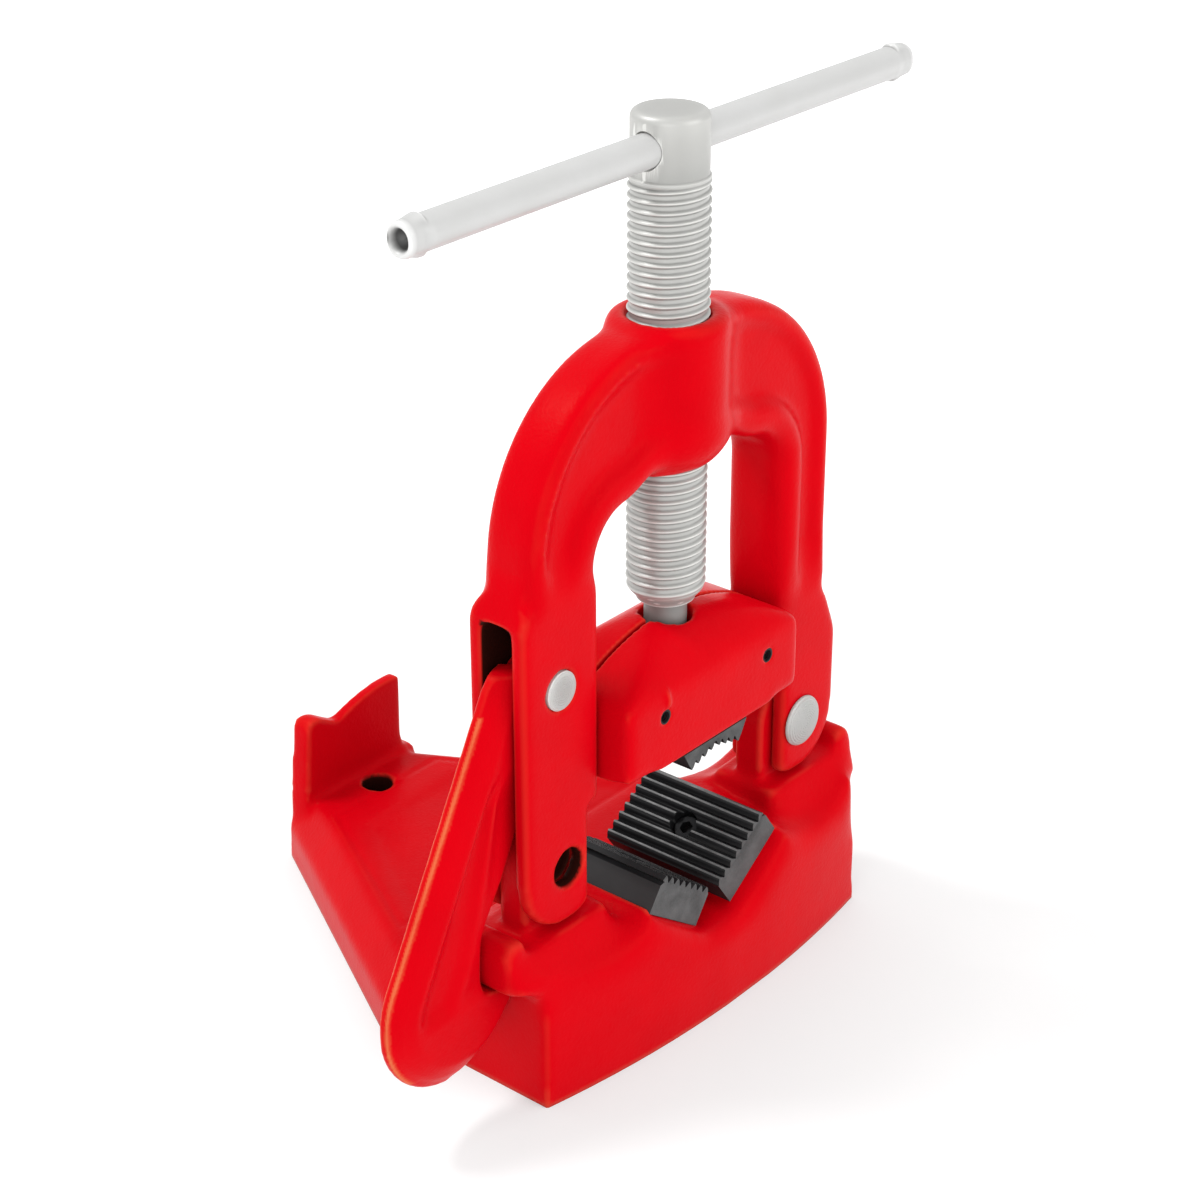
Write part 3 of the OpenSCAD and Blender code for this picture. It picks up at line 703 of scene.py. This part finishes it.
class VISE_OT_foot(bpy.types.Operator):
    """Cast foot: the solid's skin, remeshed, rounded most where the shoulders flow to the front,
    with a crisp lower edge and a fine outline round the field on the ear"""

    bl_idname = "vise.foot"
    bl_label = "Cast Foot"

    def execute(self, context):
        mesh = recast(merged_copy("base"), settings().castings.coarse_voxel)
        # Front shoulders and the saddles beside the seat, but not the latch's ledges
        x, y, z = points_of(mesh).T
        front = (1 - smooth_step(y, -20.8, -19.6)) * smooth_step(z, 22.0, 30.0)
        saddle = smooth_step(np.abs(x), 33.0, 36.0) * smooth_step(z, 30.0, 38.0) \
            * (1 - smooth_step(z, 50.0, 55.0)) * smooth_step(np.abs(y), 11.2, 13.0)
        ledge = 1 - smooth_step(np.abs(x), 74.0, 77.0) * smooth_step(y, -14.5, -9.0)
        relax(mesh, np.maximum(front, 0.8 * saddle) * np.clip(ledge, 0.12, 1), 80)
        # All edges a little, but not the hinge's lugs, the jaws' seat and the bolt holes
        x, y, z = points_of(mesh).T
        hinge = smooth_step(off_axis(np.abs(x), z, HINGE), 19.5, 22.0) + (np.abs(y) > 12.5)
        seat = smooth_step(np.abs(x), 31.0, 34.0) + (z < 28.0) + (y < -20.4)
        weight = np.clip(seat, 0.12, 1) * np.clip(hinge, 0.15, 1) * smooth_step(off_bolts(x, y), 5.6, 8.0)
        relax(mesh, weight * smooth_step(z, 1.0, 4.0), 12)
        # The lower edge and the pipe rest go back to the solid, and the rest gets thinner upwards
        x, y, z = points_of(mesh).T
        rest = smooth_step(y, 132.5, 133.5) * smooth_step(z, 27.0, 31.0)
        mesh = on_solid(mesh, "base", np.maximum(1 - smooth_step(z, 3.0, 9.0), rest))
        p = points_of(mesh)
        x, y, z = p.T
        thin = 0.1 + 0.4 * smooth_step(x, -22.0, -6.0)
        p[:, 1] -= thin * np.maximum(y - 134.0, 0.0) * smooth_step(z, 30.0, 52.0)
        set_points(mesh, p)
        relax(mesh, rest, 9)
        # Flat underside, and a fine line round the field on the ear
        p = points_of(mesh)
        x, y, z = p.T
        p[:, 2] = np.where(z < 0.8, 0.0, z)
        flank = (np.abs(x) - 57.0) * 0.876 + (y - 62.0) * 0.482
        field = np.maximum(np.maximum(flank, y - 121.0), 58.0 - y)
        top = smooth_step(z, 21.5, 22.5) * (z < 25.5) * (y > 40.0) * (y < 131.0)
        p[:, 2] -= 0.45 * np.exp(-(field / 0.9) ** 2) * top
        set_points(mesh, p)
        # Painted shade, partly bare iron: the bolt holes and the hinge bore with a ring round its mouth are
        # marked dark
        n = normals_of(mesh)
        pin = off_axis(-x, z, HINGE)
        lug = bored_wall(pin, 6.3, n[:, 1]) + (1 - smooth_step(pin, 6.8, 7.8)) * (np.abs(y) < 6.0)
        mark(mesh, "bare_iron_and_shade", np.maximum(bored_wall(off_bolts(x, y), 5.2, n[:, 2]), np.minimum(lug, 1.0)))
        add_object("foot_casting", shade_smooth(mesh), cast_paint(), "foot", "red_paint", "base")
        return {"FINISHED"}


def latch_edge(x, z):
    """Distance of a point on the latch from its outer edge: a straight flank that runs into the
    round of the grip."""
    ax = np.abs(x)
    run, fall = 0.4724, 0.8815
    line = -(ax - 80.0) * fall - (z - 137.5) * run
    below = (ax - GRIP[0]) * run - (z - GRIP[1]) * fall > 0
    return np.maximum(np.where(below, GRIP_RADIUS - off_axis(ax, z, GRIP), line), 0.0)


def latch_relief(x, z, front):
    """Half thickness of the latch over its plane, from the distance to its outer edge: a thin rim,
    a rise to a ridge, a valley that ends in a round pocket above the grip, and a rib along the
    inner side. The back is plain from the ridge inwards."""
    edge = latch_edge(x, z)
    half, ridge = 5.0, 10.0
    rim = np.where(front, 0.6, 2.2)
    rise = rim + (half - rim) * np.interp(edge, [0.0, 1.6, 4.0, 8.5], [0.0, 0.1, 0.55, 1.0])
    rib = np.interp(z, [57.0, 80.0, 104.0], [27.0, 21.0, 14.5])
    u = (edge - ridge) / (rib - ridge)
    valley = np.interp(u, [0.0, 0.28, 0.7, 0.95, 1.35], [0.0, 2.7, 2.1, 0.2, 1.5])
    reach = smooth_step(z, 41.0, 47.0) * (1 - smooth_step(z, 100.0, 114.0))
    body = rise - np.where(front, valley * reach, 0.0)
    flat = smooth_step(off_axis(x, z, LATCH_PIN), 11.0, 16.0)
    return body * flat + half * (1 - flat)


class VISE_OT_latch(bpy.types.Operator):
    """Forged latch: the solid's skin with a thin rim, a ridge, a valley and an inner rib"""

    bl_idname = "vise.latch"
    bl_label = "Swing Latch"

    def execute(self, context):
        voxel = settings().castings.fine_voxel
        # A wedge that the solid keeps above its stop is cut off
        wedge = [(-88.4, 60.9), (-78.9, 75.5), (-70.0, 92.5), (-60.0, 92.5), (-60.0, 60.9)]
        mesh = recast(cut_away(merged_copy("latch"), *prism(wedge, -8.0, 8.0)), voxel)
        p, n = points_of(mesh), normals_of(mesh)
        x, y, z = p.T
        eye = smooth_step(off_axis(x, z, LATCH_PIN), 9.0, 12.0)
        flat = smooth_step(np.abs(n[:, 1]), 0.3, 0.7) * eye
        front, back = (latch_relief(x, z, side) for side in (True, False))
        shaped = y + flat * (np.where(y < 0, -front, back) - y)
        p[:, 1] += eye * (np.clip(shaped, -front, back) - y)
        set_points(mesh, p)
        mesh = recast(mesh, voxel)
        relax(mesh, 0.9, 9)
        # The part that turns in the yoke's slot keeps its clearance
        p = points_of(mesh)
        x, y, z = p.T
        p[:, 1] = np.where(smooth_step(x, -79.0, -76.0) > 0, np.clip(y, -5.15, 5.15), y)
        set_points(mesh, p)
        # Wear and painted highlight: the rounded corners along the latch's outer rim are marked
        lean = np.abs(normals_of(mesh)[:, 1])
        corner = smooth_step(lean, 0.35, 0.55) * (1 - smooth_step(lean, 0.75, 0.9))
        rim = (latch_edge(x, z) < 1.6) & (z > 24.0) & (z < 130.0)
        mark(mesh, "worn_and_highlight", corner * rim)
        add_object("latch_forging", shade_smooth(mesh), cast_paint(), "latch", "red_paint", "latch")
        return {"FINISHED"}


def bush(x, z, low, high, outer, inner, turns=0, depth=0.0):
    """Closed bush along Y about x, z: a plain outside and a bore whose radius rises and falls
    once per turn of a helix, like a tapped hole."""
    sides = 48
    a = np.linspace(0, 2 * np.pi, sides, endpoint=False)
    y = np.linspace(low, high, 40 if turns else 4)
    phase = ((y[:, None] - low) / (high - low) * turns - a / (2 * np.pi)) % 1.0
    bore = inner + depth * (1 - np.abs(2 * phase - 1))
    radius = np.concatenate([bore, np.full((2, sides), outer)])
    place = np.concatenate([y, [high, low]])
    rings = np.stack([x + radius * np.cos(a), np.repeat(place[:, None], sides, 1),
                      z + radius * np.sin(a)], -1)
    first = np.arange(sides)
    after, last = (first + 1) % sides, (len(place) - 1) * sides
    seam = np.stack([last + first, last + after, after, first], 1)
    return rings.reshape(-1, 3), np.concatenate([grid_faces(len(place), sides, True), seam]).tolist()


class VISE_OT_holder(bpy.types.Operator):
    """Two cast halves of the jaw holder, with tapped holes through the front one"""

    bl_idname = "vise.holder"
    bl_label = "Jaw Holder"

    def execute(self, context):
        voxel = settings().castings.fine_voxel
        hole_x, hole_z = HOLDER_HOLE
        for side in ("front", "back"):
            node = "jaw_holder_" + side
            mesh = merged_copy(node)
            if side == "front":
                mesh = with_shells(mesh, [bush(x, hole_z, -20.45, -15.7, 3.7, 2.1)
                                          for x in (-hole_x, hole_x)])
            mesh = recast(mesh, voxel)
            x, y, z = points_of(mesh).T
            hole = off_axis(np.abs(x), z, HOLDER_HOLE)
            outer = smooth_step(np.abs(y), 1.2, 4.0) * smooth_step(hole, 4.0, 7.0)
            cup = smooth_step(np.hypot(x, y), 9.0, 13.0)
            end = smooth_step(np.abs(x), 26.0, 32.0) * smooth_step(np.abs(y), 12.5, 15.0)
            upper = np.maximum(smooth_step(z, 97.0, 104.0), end * smooth_step(z, 90.0, 93.0))
            relax(mesh, np.clip(outer * cup * upper, 0.02, 1), 70)
            relax(mesh, np.clip(outer, 0.1, 1), 10)
            if side == "front":
                # A short cast fin above the left hole
                p = points_of(mesh)
                x, y, z = p.T
                fin = np.exp(-((x + 24.0) / 1.1) ** 2) * smooth_step(z, 114.5, 117.0) \
                    * (1 - smooth_step(z, 119.0, 123.0)) * (y < -12.0)
                p[:, 1] -= 0.9 * fin
                set_points(mesh, p)
            add_object("holder_" + side, shade_smooth(mesh), cast_paint(), "jaw_head", "red_paint", node)
        # The tapped threads take the dark jaw finish, as bare thread and as painted shade inside the holes
        for side, x in (("left", -hole_x), ("right", hole_x)):
            mesh = face_outwards(mesh_from("tapped", *bush(x, hole_z, -20.3, -15.6, 2.35, 1.6, 5, 0.4)))
            add_object("tapped_hole_" + side, mesh, black_steel(), "jaw_head", "bolt_steel")
        return {"FINISHED"}


# Steel pieces


class VISE_OT_screw(bpy.types.Operator):
    """Clamping screw: helical thread, round head with its cross hole, neck and collar"""

    bl_idname = "vise.screw"
    bl_label = "Clamping Screw"

    def execute(self, context):
        s = settings().steel
        pitch, depth = s.pitch / MM, s.thread_depth / MM
        low, high, top = 140.5, 266.5, SCREW_HIGH[2]
        sides, radius, neck, collar, head, crown_edge = 96, 12.0, 6.5, 10.0, 11.3, 2.4
        a = np.linspace(0, 2 * np.pi, sides, endpoint=False)
        # Thread: on a helix the radius falls from the crest by an eased depth, and the thread fades
        # out at both ends
        z = np.arange(low - 4.0, high + 0.01, 0.2)
        phase = (z[:, None] / pitch - a / (2 * np.pi)) % 1.0
        wave = smooth_step(np.abs(2 * phase - 1), 0.04, 0.6)
        fade = smooth_step(z, low - 1.5, low + 3.0) * (1 - smooth_step(z, high - 2.2, high - 0.4))
        core = radius - 2.9 * (1 - smooth_step(z, low - 4.0, low + 0.6))
        r = core[:, None] - depth * wave * fade[:, None] - 0.25 * (1 - fade[:, None])
        thread = np.stack([r * np.cos(a), r * np.sin(a), np.repeat(z[:, None], sides, 1)], -1)
        foot = turned([(0.01, 113.0), (collar - 0.4, 113.0), (collar, 113.4), (collar, 118.6),
                       (collar - 0.4, 119.0), (neck, 119.0), (neck, 130.0), (neck, low - 4.6),
                       (7.2, low - 4.1)], sides)
        edge = np.linspace(0, np.pi / 2, 9)
        rim = np.stack([head - crown_edge + crown_edge * np.cos(edge),
                        top - crown_edge + crown_edge * np.sin(edge)], 1)
        crown = turned(np.concatenate([[(head, high + 0.5), (head, 272.0), (head, 280.0)], rim,
                                       [(7.0, top + 0.02), (4.0, top + 0.03), (1.2, top + 0.035)]]), sides)
        mesh = face_outwards(mesh_from("clamping_screw", *tube(np.concatenate([foot, thread, crown]))))
        hole, mouth = 5.2, 5.9
        ring = turned([(mouth, -14.0), (mouth, -11.6), (hole, -10.6),
                       (hole, 10.6), (mouth, 11.6), (mouth, 14.0)], 64)
        cross = np.stack([ring[..., 2], ring[..., 1], ring[..., 0] + (BAR_LOW[2] + BAR_HIGH[2]) / 2], -1)
        mesh = shade_smooth(cut_away(mesh, *tube(cross)), 40)
        add_object("clamping_screw", mesh, screw_zinc(), "screw", "screw_steel", "screw")
        return {"FINISHED"}


class VISE_OT_handle(bpy.types.Operator):
    """Handle bar: round bar with dimpled ends and swaged lugs above and below"""

    bl_idname = "vise.handle"
    bl_label = "Handle Bar"

    def execute(self, context):
        dimple = settings().steel.dimple / MM
        low, high = BAR_LOW[0], BAR_HIGH[0]
        middle, radius, sides = (BAR_LOW[2] + BAR_HIGH[2]) / 2, 5.0, 72
        a = np.linspace(0, 2 * np.pi, sides, endpoint=False)
        # Half a bar by its distance from the end: the dimple and its rim, then the plain bar
        end = np.array([(0.02, dimple), (1.2, dimple - 0.3), (2.6, dimple * 0.55), (3.3, 0.5), (3.7, 0.1),
                        (4.1, 0.0), (4.6, 0.25), (4.95, 0.9), (5.05, 1.8)])
        body = np.concatenate([np.arange(2.4, 14.0, 0.35), np.linspace(15.0, (high - low) / 2, 30)])
        r = np.concatenate([end[:, 0], np.full(len(body), radius)])
        d = np.concatenate([end[:, 1], body])
        # Lugs swell above and below with a steep back, and the sides are pinched in beside them
        lug = smooth_step(d, 2.0, 6.6) * (1 - smooth_step(d, 7.0, 7.6))
        round_lug = np.exp(-((np.abs(np.sin(a)) - 1.0) / 0.16) ** 2)
        pinch = 0.45 * (1 - smooth_step(d, 5.0, 9.0))[:, None] * np.abs(np.cos(a)) ** 4
        rr = r[:, None] + 0.85 * lug[:, None] * round_lug - pinch * (r > 4.0)[:, None]
        left = np.stack([np.repeat(d[:, None], sides, 1), rr * np.cos(a), rr * np.sin(a) + middle], -1)
        right = left[-2::-1].copy()
        left[..., 0] += low
        right[..., 0] = high - right[..., 0]
        mesh = face_outwards(mesh_from("handle_bar_steel", *tube(np.concatenate([left, right]))))
        # Painted shade: the inside of each end's dimple is marked to be drawn almost black
        x, y, z = points_of(mesh).T
        depth = np.minimum(x - low, high - x)
        mark(mesh, "hollow", (np.hypot(y, z - middle) < 2.9) & (depth > 0.6))
        add_object("handle_bar_steel", mesh, bar_zinc(), "handle", "bar_steel", "handle_bar")
        return {"FINISHED"}


def tooth_row(length, pitch, depth, count):
    """Saw line of rounded teeth along x: crest at 0, root at minus depth."""
    start = (length - count * pitch) / 2
    tooth = np.array([(0.0, -1.0), (0.1, -0.9), (0.3, -0.32), (0.5, -0.05),
                      (0.56, 0.0), (0.68, 0.0), (0.94, -0.9)])
    roots = np.stack([start + pitch * np.arange(count), np.zeros(count)], 1)
    return (tooth[None] * [pitch, depth] + roots[:, None]).reshape(-1, 2)


def ground_marks(mesh, low, high, height):
    """Marks the ends at low and high along Y and the tooth crests as ground, for the jaws' finish;
    height gives how far a point lies above the line of the crests. Large faces are shaded flat."""
    count = len(mesh.polygons)
    n, c, area = np.empty(count * 3), np.empty(count * 3), np.empty(count)
    mesh.polygons.foreach_get("normal", n)
    mesh.polygons.foreach_get("center", c)
    mesh.polygons.foreach_get("area", area)
    n, c = n.reshape(-1, 3), c.reshape(-1, 3) / MM
    ends = (np.abs(n[:, 1]) > 0.9) & ((c[:, 1] < low + 0.5) | (c[:, 1] > high - 0.5))
    crest = (height(np.abs(c[:, 0]), c[:, 2]) > -0.1) & ~ends
    layer = mesh.attributes.new("ground", "FLOAT", "FACE")
    layer.data.foreach_set("value", (0.34 * ends + 0.8 * crest).astype(np.float32))
    mesh.polygons.foreach_set("use_smooth", area < 4e-6)


def bevelled(mesh, width):
    """A mesh with its sharp edges broken by a narrow round bevel."""
    def build(scratch):
        m = scratch.modifiers.new("edge", "BEVEL")
        m.width = width
        m.segments = 2
        m.limit_method = "ANGLE"
        m.angle_limit = math.radians(28)
    return finished(mesh, build)


class VISE_OT_jaws(bpy.types.Operator):
    """Lower jaws in a V and the upper jaw: tooth profiles carried along Y"""

    bl_idname = "vise.jaws"
    bl_label = "Toothed Jaws"

    def execute(self, context):
        bevel, tooth_depth, crease = settings().steel.bevel, 1.9, 35
        # Lower jaw: its outline along the slope is across times length plus up times height
        across = np.array([math.cos(JAW_TILT), math.sin(JAW_TILT)])
        up = np.array([-math.sin(JAW_TILT), math.cos(JAW_TILT)])
        width, thick = 28.0, 12.55
        outline = np.concatenate([[(0.0, -2.4)], tooth_row(width, 3.5, tooth_depth, 8),
                                  [(26.6, -2.0), (width, -3.4), (width, -thick), (0.0, -thick)]])
        outline = outline[np.concatenate([[True], np.hypot(*np.diff(outline, axis=0).T) > 0.05])]
        low, high = JAW_LOW[1], JAW_HIGH[1]
        points, faces = prism(outline @ np.stack([across, up]) + JAW_CORNER, low, high)
        middle = JAW_CORNER + width / 2 * across
        ring = turned([(4.6, -8.3), (4.6, -1.2), (4.6, 4.0)], 48)
        hole_points, hole_faces = tube(np.stack([
            middle[0] + ring[..., 0] * across[0] + ring[..., 2] * up[0],
            ring[..., 1] + (low + high) / 2,
            middle[1] + ring[..., 0] * across[1] + ring[..., 2] * up[1]], -1))

        def lower_height(x, z):
            return (z - JAW_CORNER[1]) * up[1] + (x - JAW_CORNER[0]) * up[0]

        for side, sign in (("right", 1.0), ("left", -1.0)):
            flip = np.array([sign, 1.0, 1.0])
            mesh = face_outwards(mesh_from("jaw", points * flip, faces, False))
            mesh = shade_smooth(bevelled(cut_away(mesh, hole_points * flip, hole_faces), bevel), crease)
            ground_marks(mesh, low, high, lower_height)
            add_object("lower_jaw_teeth_" + side, mesh, black_steel(), "foot", "jaw_steel",
                       "lower_jaw_" + side)

        # Upper jaw: a blunt V of teeth, slanted ends and the tang behind it
        tip, root, crest, fall, tang = 12.7, UPPER_HIGH[0], 91.6, 3.6, 94.9
        row = tooth_row(tip, tip / 4, tooth_depth, 4)
        row = row[row[:, 0] > 0.3]
        profile = np.stack([row[:, 0], crest - fall * row[:, 0] / tip - row[:, 1]], 1)
        half = np.concatenate([profile, [(tip, 89.9), (root, tang + 0.08)]])
        low, high = UPPER_LOW[1], UPPER_HIGH[1]
        points, faces = prism(np.concatenate([half, half[::-1] * [-1.0, 1.0]]), low, high)
        mesh = bevelled(face_outwards(mesh_from("upper_jaw", points, faces, False)), bevel)
        stem = [(-root, tang), (root, tang), (root, 106), (-root, 106)]
        mesh = shade_smooth(with_shells(mesh, [prism(stem, -7.9, 7.9)]), crease)
        ground_marks(mesh, low, high, lambda x, z: crest - fall * x / tip - z)
        add_object("upper_jaw_teeth", mesh, black_steel(), "jaw_head", "jaw_steel", "upper_jaw")
        return {"FINISHED"}


class VISE_OT_pins(bpy.types.Operator):
    """Hinge pin with domed heads and flush latch pin, each a profile turned about its axis"""

    bl_idname = "vise.pins"
    bl_label = "Pins"

    def execute(self, context):
        def pin(name, profile, sides, axis, body, node):
            rings = turned(profile, sides)
            rings = np.stack([rings[..., 0] + axis[0], rings[..., 2], rings[..., 1] + axis[1]], -1)
            mesh = shade_smooth(face_outwards(mesh_from(node, *tube(rings))), 35)
            add_object(name, mesh, pin_bright(axis), body, "pin_steel", node)

        # Domed head: radius head times sin t, height dome times cos t to the power 0.8
        shaft, head, dome, reach = 6.0, 8.5, 2.75, 11.05
        edge = np.linspace(0, np.pi / 2, 10)[1:]
        front = np.concatenate([[(0.5, -reach - dome)],
                                np.stack([head * np.sin(edge), -reach - dome * np.cos(edge) ** 0.8], 1),
                                [(head, -reach + 0.02), (shaft, -reach + 0.03)]])
        pin("hinge_pin_rivet", np.concatenate([front, front[::-1] * [1, -1]]), 96, HINGE, "foot", "hinge_pin")
        end = np.array([(0.5, -11.22), (3.0, -11.22), (5.0, -11.15), (5.7, -10.95), (shaft, -10.6)])
        pin("latch_pin_rivet", np.concatenate([end, end[::-1] * [1, -1]]), 72, LATCH_PIN, "yoke", "latch_pin")
        return {"FINISHED"}


class VISE_OT_fasteners(bpy.types.Operator):
    """Black socket screws: the solids keep their shape and get a dark finish"""

    bl_idname = "vise.fasteners"
    bl_label = "Socket Screws"

    def execute(self, context):
        for screw in ("lower_jaw_screw_", "holder_screw_"):
            for side in ("left", "right"):
                mesh = NODES[screw + side].data
                mesh.materials.clear()
                mesh.materials.append(black_steel())
        return {"FINISHED"}


def seen_rays(tree):
    """1 for rays that show the surround itself: to the camera, in gloss and through glass."""
    path = tree.nodes.new("ShaderNodeLightPath")
    mirrored = math_node(tree, "MAXIMUM", path.outputs["Is Glossy Ray"], path.outputs["Is Transmission Ray"])
    return math_node(tree, "MAXIMUM", path.outputs["Is Camera Ray"], mirrored)


def standing(right, up, back, place):
    """Matrix of a lamp or camera at a place, with its own right, up and back directions."""
    return Matrix([*np.column_stack([right, up, back, place]).tolist(), [0, 0, 0, 1]])


class VISE_OT_stage(bpy.types.Operator):
    """Pale floor, soft studio lamps, white surround and the camera"""

    bl_idname = "vise.stage"
    bl_label = "Studio"

    def execute(self, context):
        scene = context.scene
        scene.view_settings.view_transform = "Standard"
        far = 3000
        mesh = mesh_from("floor", [(-far, -far, 0), (far, -far, 0), (far, far, 0), (-far, far, 0)],
                         [(0, 1, 2, 3)], False)
        material, tree, shader = new_material("pale_floor")
        grain = noise_node(tree, 6.0, 2.0)
        tone = mix_colour(tree, grain, (0.86, 0.86, 0.86, 1.0), (0.88, 0.88, 0.88, 1.0))
        shader.inputs["Roughness"].default_value = 0.9
        shader.inputs["Specular IOR Level"].default_value = 0.0
        tree.links.new(tone, shader.inputs["Base Color"])
        glow = tree.nodes.new("ShaderNodeEmission")
        # The floor glows little near the vise, where its shadow falls, and is white further out
        out = tree.nodes.new("ShaderNodeVectorMath")
        out.operation = "LENGTH"
        tree.links.new(tree.nodes.new("ShaderNodeTexCoord").outputs["Object"], out.inputs[0])
        span = tree.nodes.new("ShaderNodeMapRange")
        tree.links.new(out.outputs["Value"], span.inputs["Value"])
        for label, value in (("From Min", 0.2), ("From Max", 0.9), ("To Min", 0.22), ("To Max", 1.0)):
            span.inputs[label].default_value = value
        glow_level = math_node(tree, "MULTIPLY", seen_rays(tree), span.outputs["Result"])
        tree.links.new(glow_level, glow.inputs["Strength"])
        both = tree.nodes.new("ShaderNodeAddShader")
        tree.links.new(shader.outputs[0], both.inputs[0])
        tree.links.new(glow.outputs[0], both.inputs[1])
        tree.links.new(both.outputs[0], tree.nodes["Material Output"].inputs["Surface"])
        mesh.materials.append(material)
        floor = bpy.data.objects.new("floor", mesh)
        scene.collection.objects.link(floor)

        world = bpy.data.worlds.new("studio")
        scene.world = world
        world.use_nodes = True
        tree = world.node_tree
        background = tree.nodes["Background"]
        background.inputs["Color"].default_value = (1.0, 1.0, 1.0, 1.0)
        tree.links.new(math_node(tree, "MAXIMUM", seen_rays(tree), 0.76), background.inputs["Strength"])

        def lamp(name, place, aim, size, power):
            data = bpy.data.lights.new(name, "AREA")
            data.shape = "SQUARE"
            data.size = size
            data.energy = power
            item = bpy.data.objects.new(name, data)
            back = np.array(place, float) - np.array(aim, float)
            back /= np.linalg.norm(back)
            right = np.cross((0.0, 0.0, 1.0), back)
            right /= np.linalg.norm(right)
            item.matrix_world = standing(right, np.cross(back, right), back, place)
            scene.collection.objects.link(item)

        lamp("front_softbox", (0.35, -1.2, 0.7), (0, 0, 0.1), 0.9, 5.0)
        lamp("top_softbox", (-0.35, 0.55, 1.2), (0, 0, 0.15), 0.3, 5.5)
        lamp("left_softbox", (-1.1, -0.7, 0.5), (0, 0, 0.1), 0.8, 3.2)

        # Camera fitted to the photo: angles, place in millimetres, focal length in its pixels
        yaw, pitch, roll = np.radians((-50.16, 26.7, -0.13))
        aside, height, distance = -19.55, 134.59, 776.24
        focal, pixels, sensor = 2595.55, 1200.0, 36.0
        back = np.array([math.sin(yaw) * math.cos(pitch), -math.cos(yaw) * math.cos(pitch), math.sin(pitch)])
        right = np.array([math.cos(yaw), math.sin(yaw), 0.0])
        up = np.cross(back, right)
        place = (right * aside + np.array([0, 0, height]) + back * distance) * MM
        side = right * math.cos(roll) + up * math.sin(roll)
        head = -right * math.sin(roll) + up * math.cos(roll)
        data = bpy.data.cameras.new("camera")
        data.sensor_width = sensor
        data.lens = focal / pixels * sensor
        data.clip_start = 0.01
        camera = bpy.data.objects.new("camera", data)
        camera.matrix_world = standing(side, head, back, place)
        scene.collection.objects.link(camera)
        scene.camera = camera
        return {"FINISHED"}


PIECES = (VISE_OT_stage, VISE_OT_yoke, VISE_OT_foot, VISE_OT_latch, VISE_OT_holder, VISE_OT_screw,
          VISE_OT_handle, VISE_OT_jaws, VISE_OT_pins, VISE_OT_fasteners)


class VISE_PT_panel(bpy.types.Panel):
    """Sidebar panel that lists the vise's settings and pieces"""

    bl_idname = "VISE_PT_panel"
    bl_label = "Yoke Pipe Vise"
    bl_space_type = "VIEW_3D"
    bl_region_type = "UI"
    bl_category = "Vise"

    def draw(self, context):
        layout = self.layout
        vise = context.scene.vise
        for group in (vise.castings, vise.steel, vise.colours):
            box = layout.box()
            for name in group.bl_rna.properties.keys():
                if name not in ("rna_type", "name"):
                    box.prop(group, name)
        for piece in PIECES:
            layout.operator(piece.bl_idname)


CLASSES = (ViseCastingSettings, ViseSteelSettings, ViseColourSettings, ViseSettings, *PIECES, VISE_PT_panel)


def register():
    for item in CLASSES:
        bpy.utils.register_class(item)
    bpy.types.Scene.vise = bpy.props.PointerProperty(type=ViseSettings)


def unregister():
    del bpy.types.Scene.vise
    for item in reversed(CLASSES):
        bpy.utils.unregister_class(item)


def main():
    register()
    for piece in PIECES:
        group, name = piece.bl_idname.split(".")
        getattr(getattr(bpy.ops, group), name)()


if __name__ == "__main__":
    main()
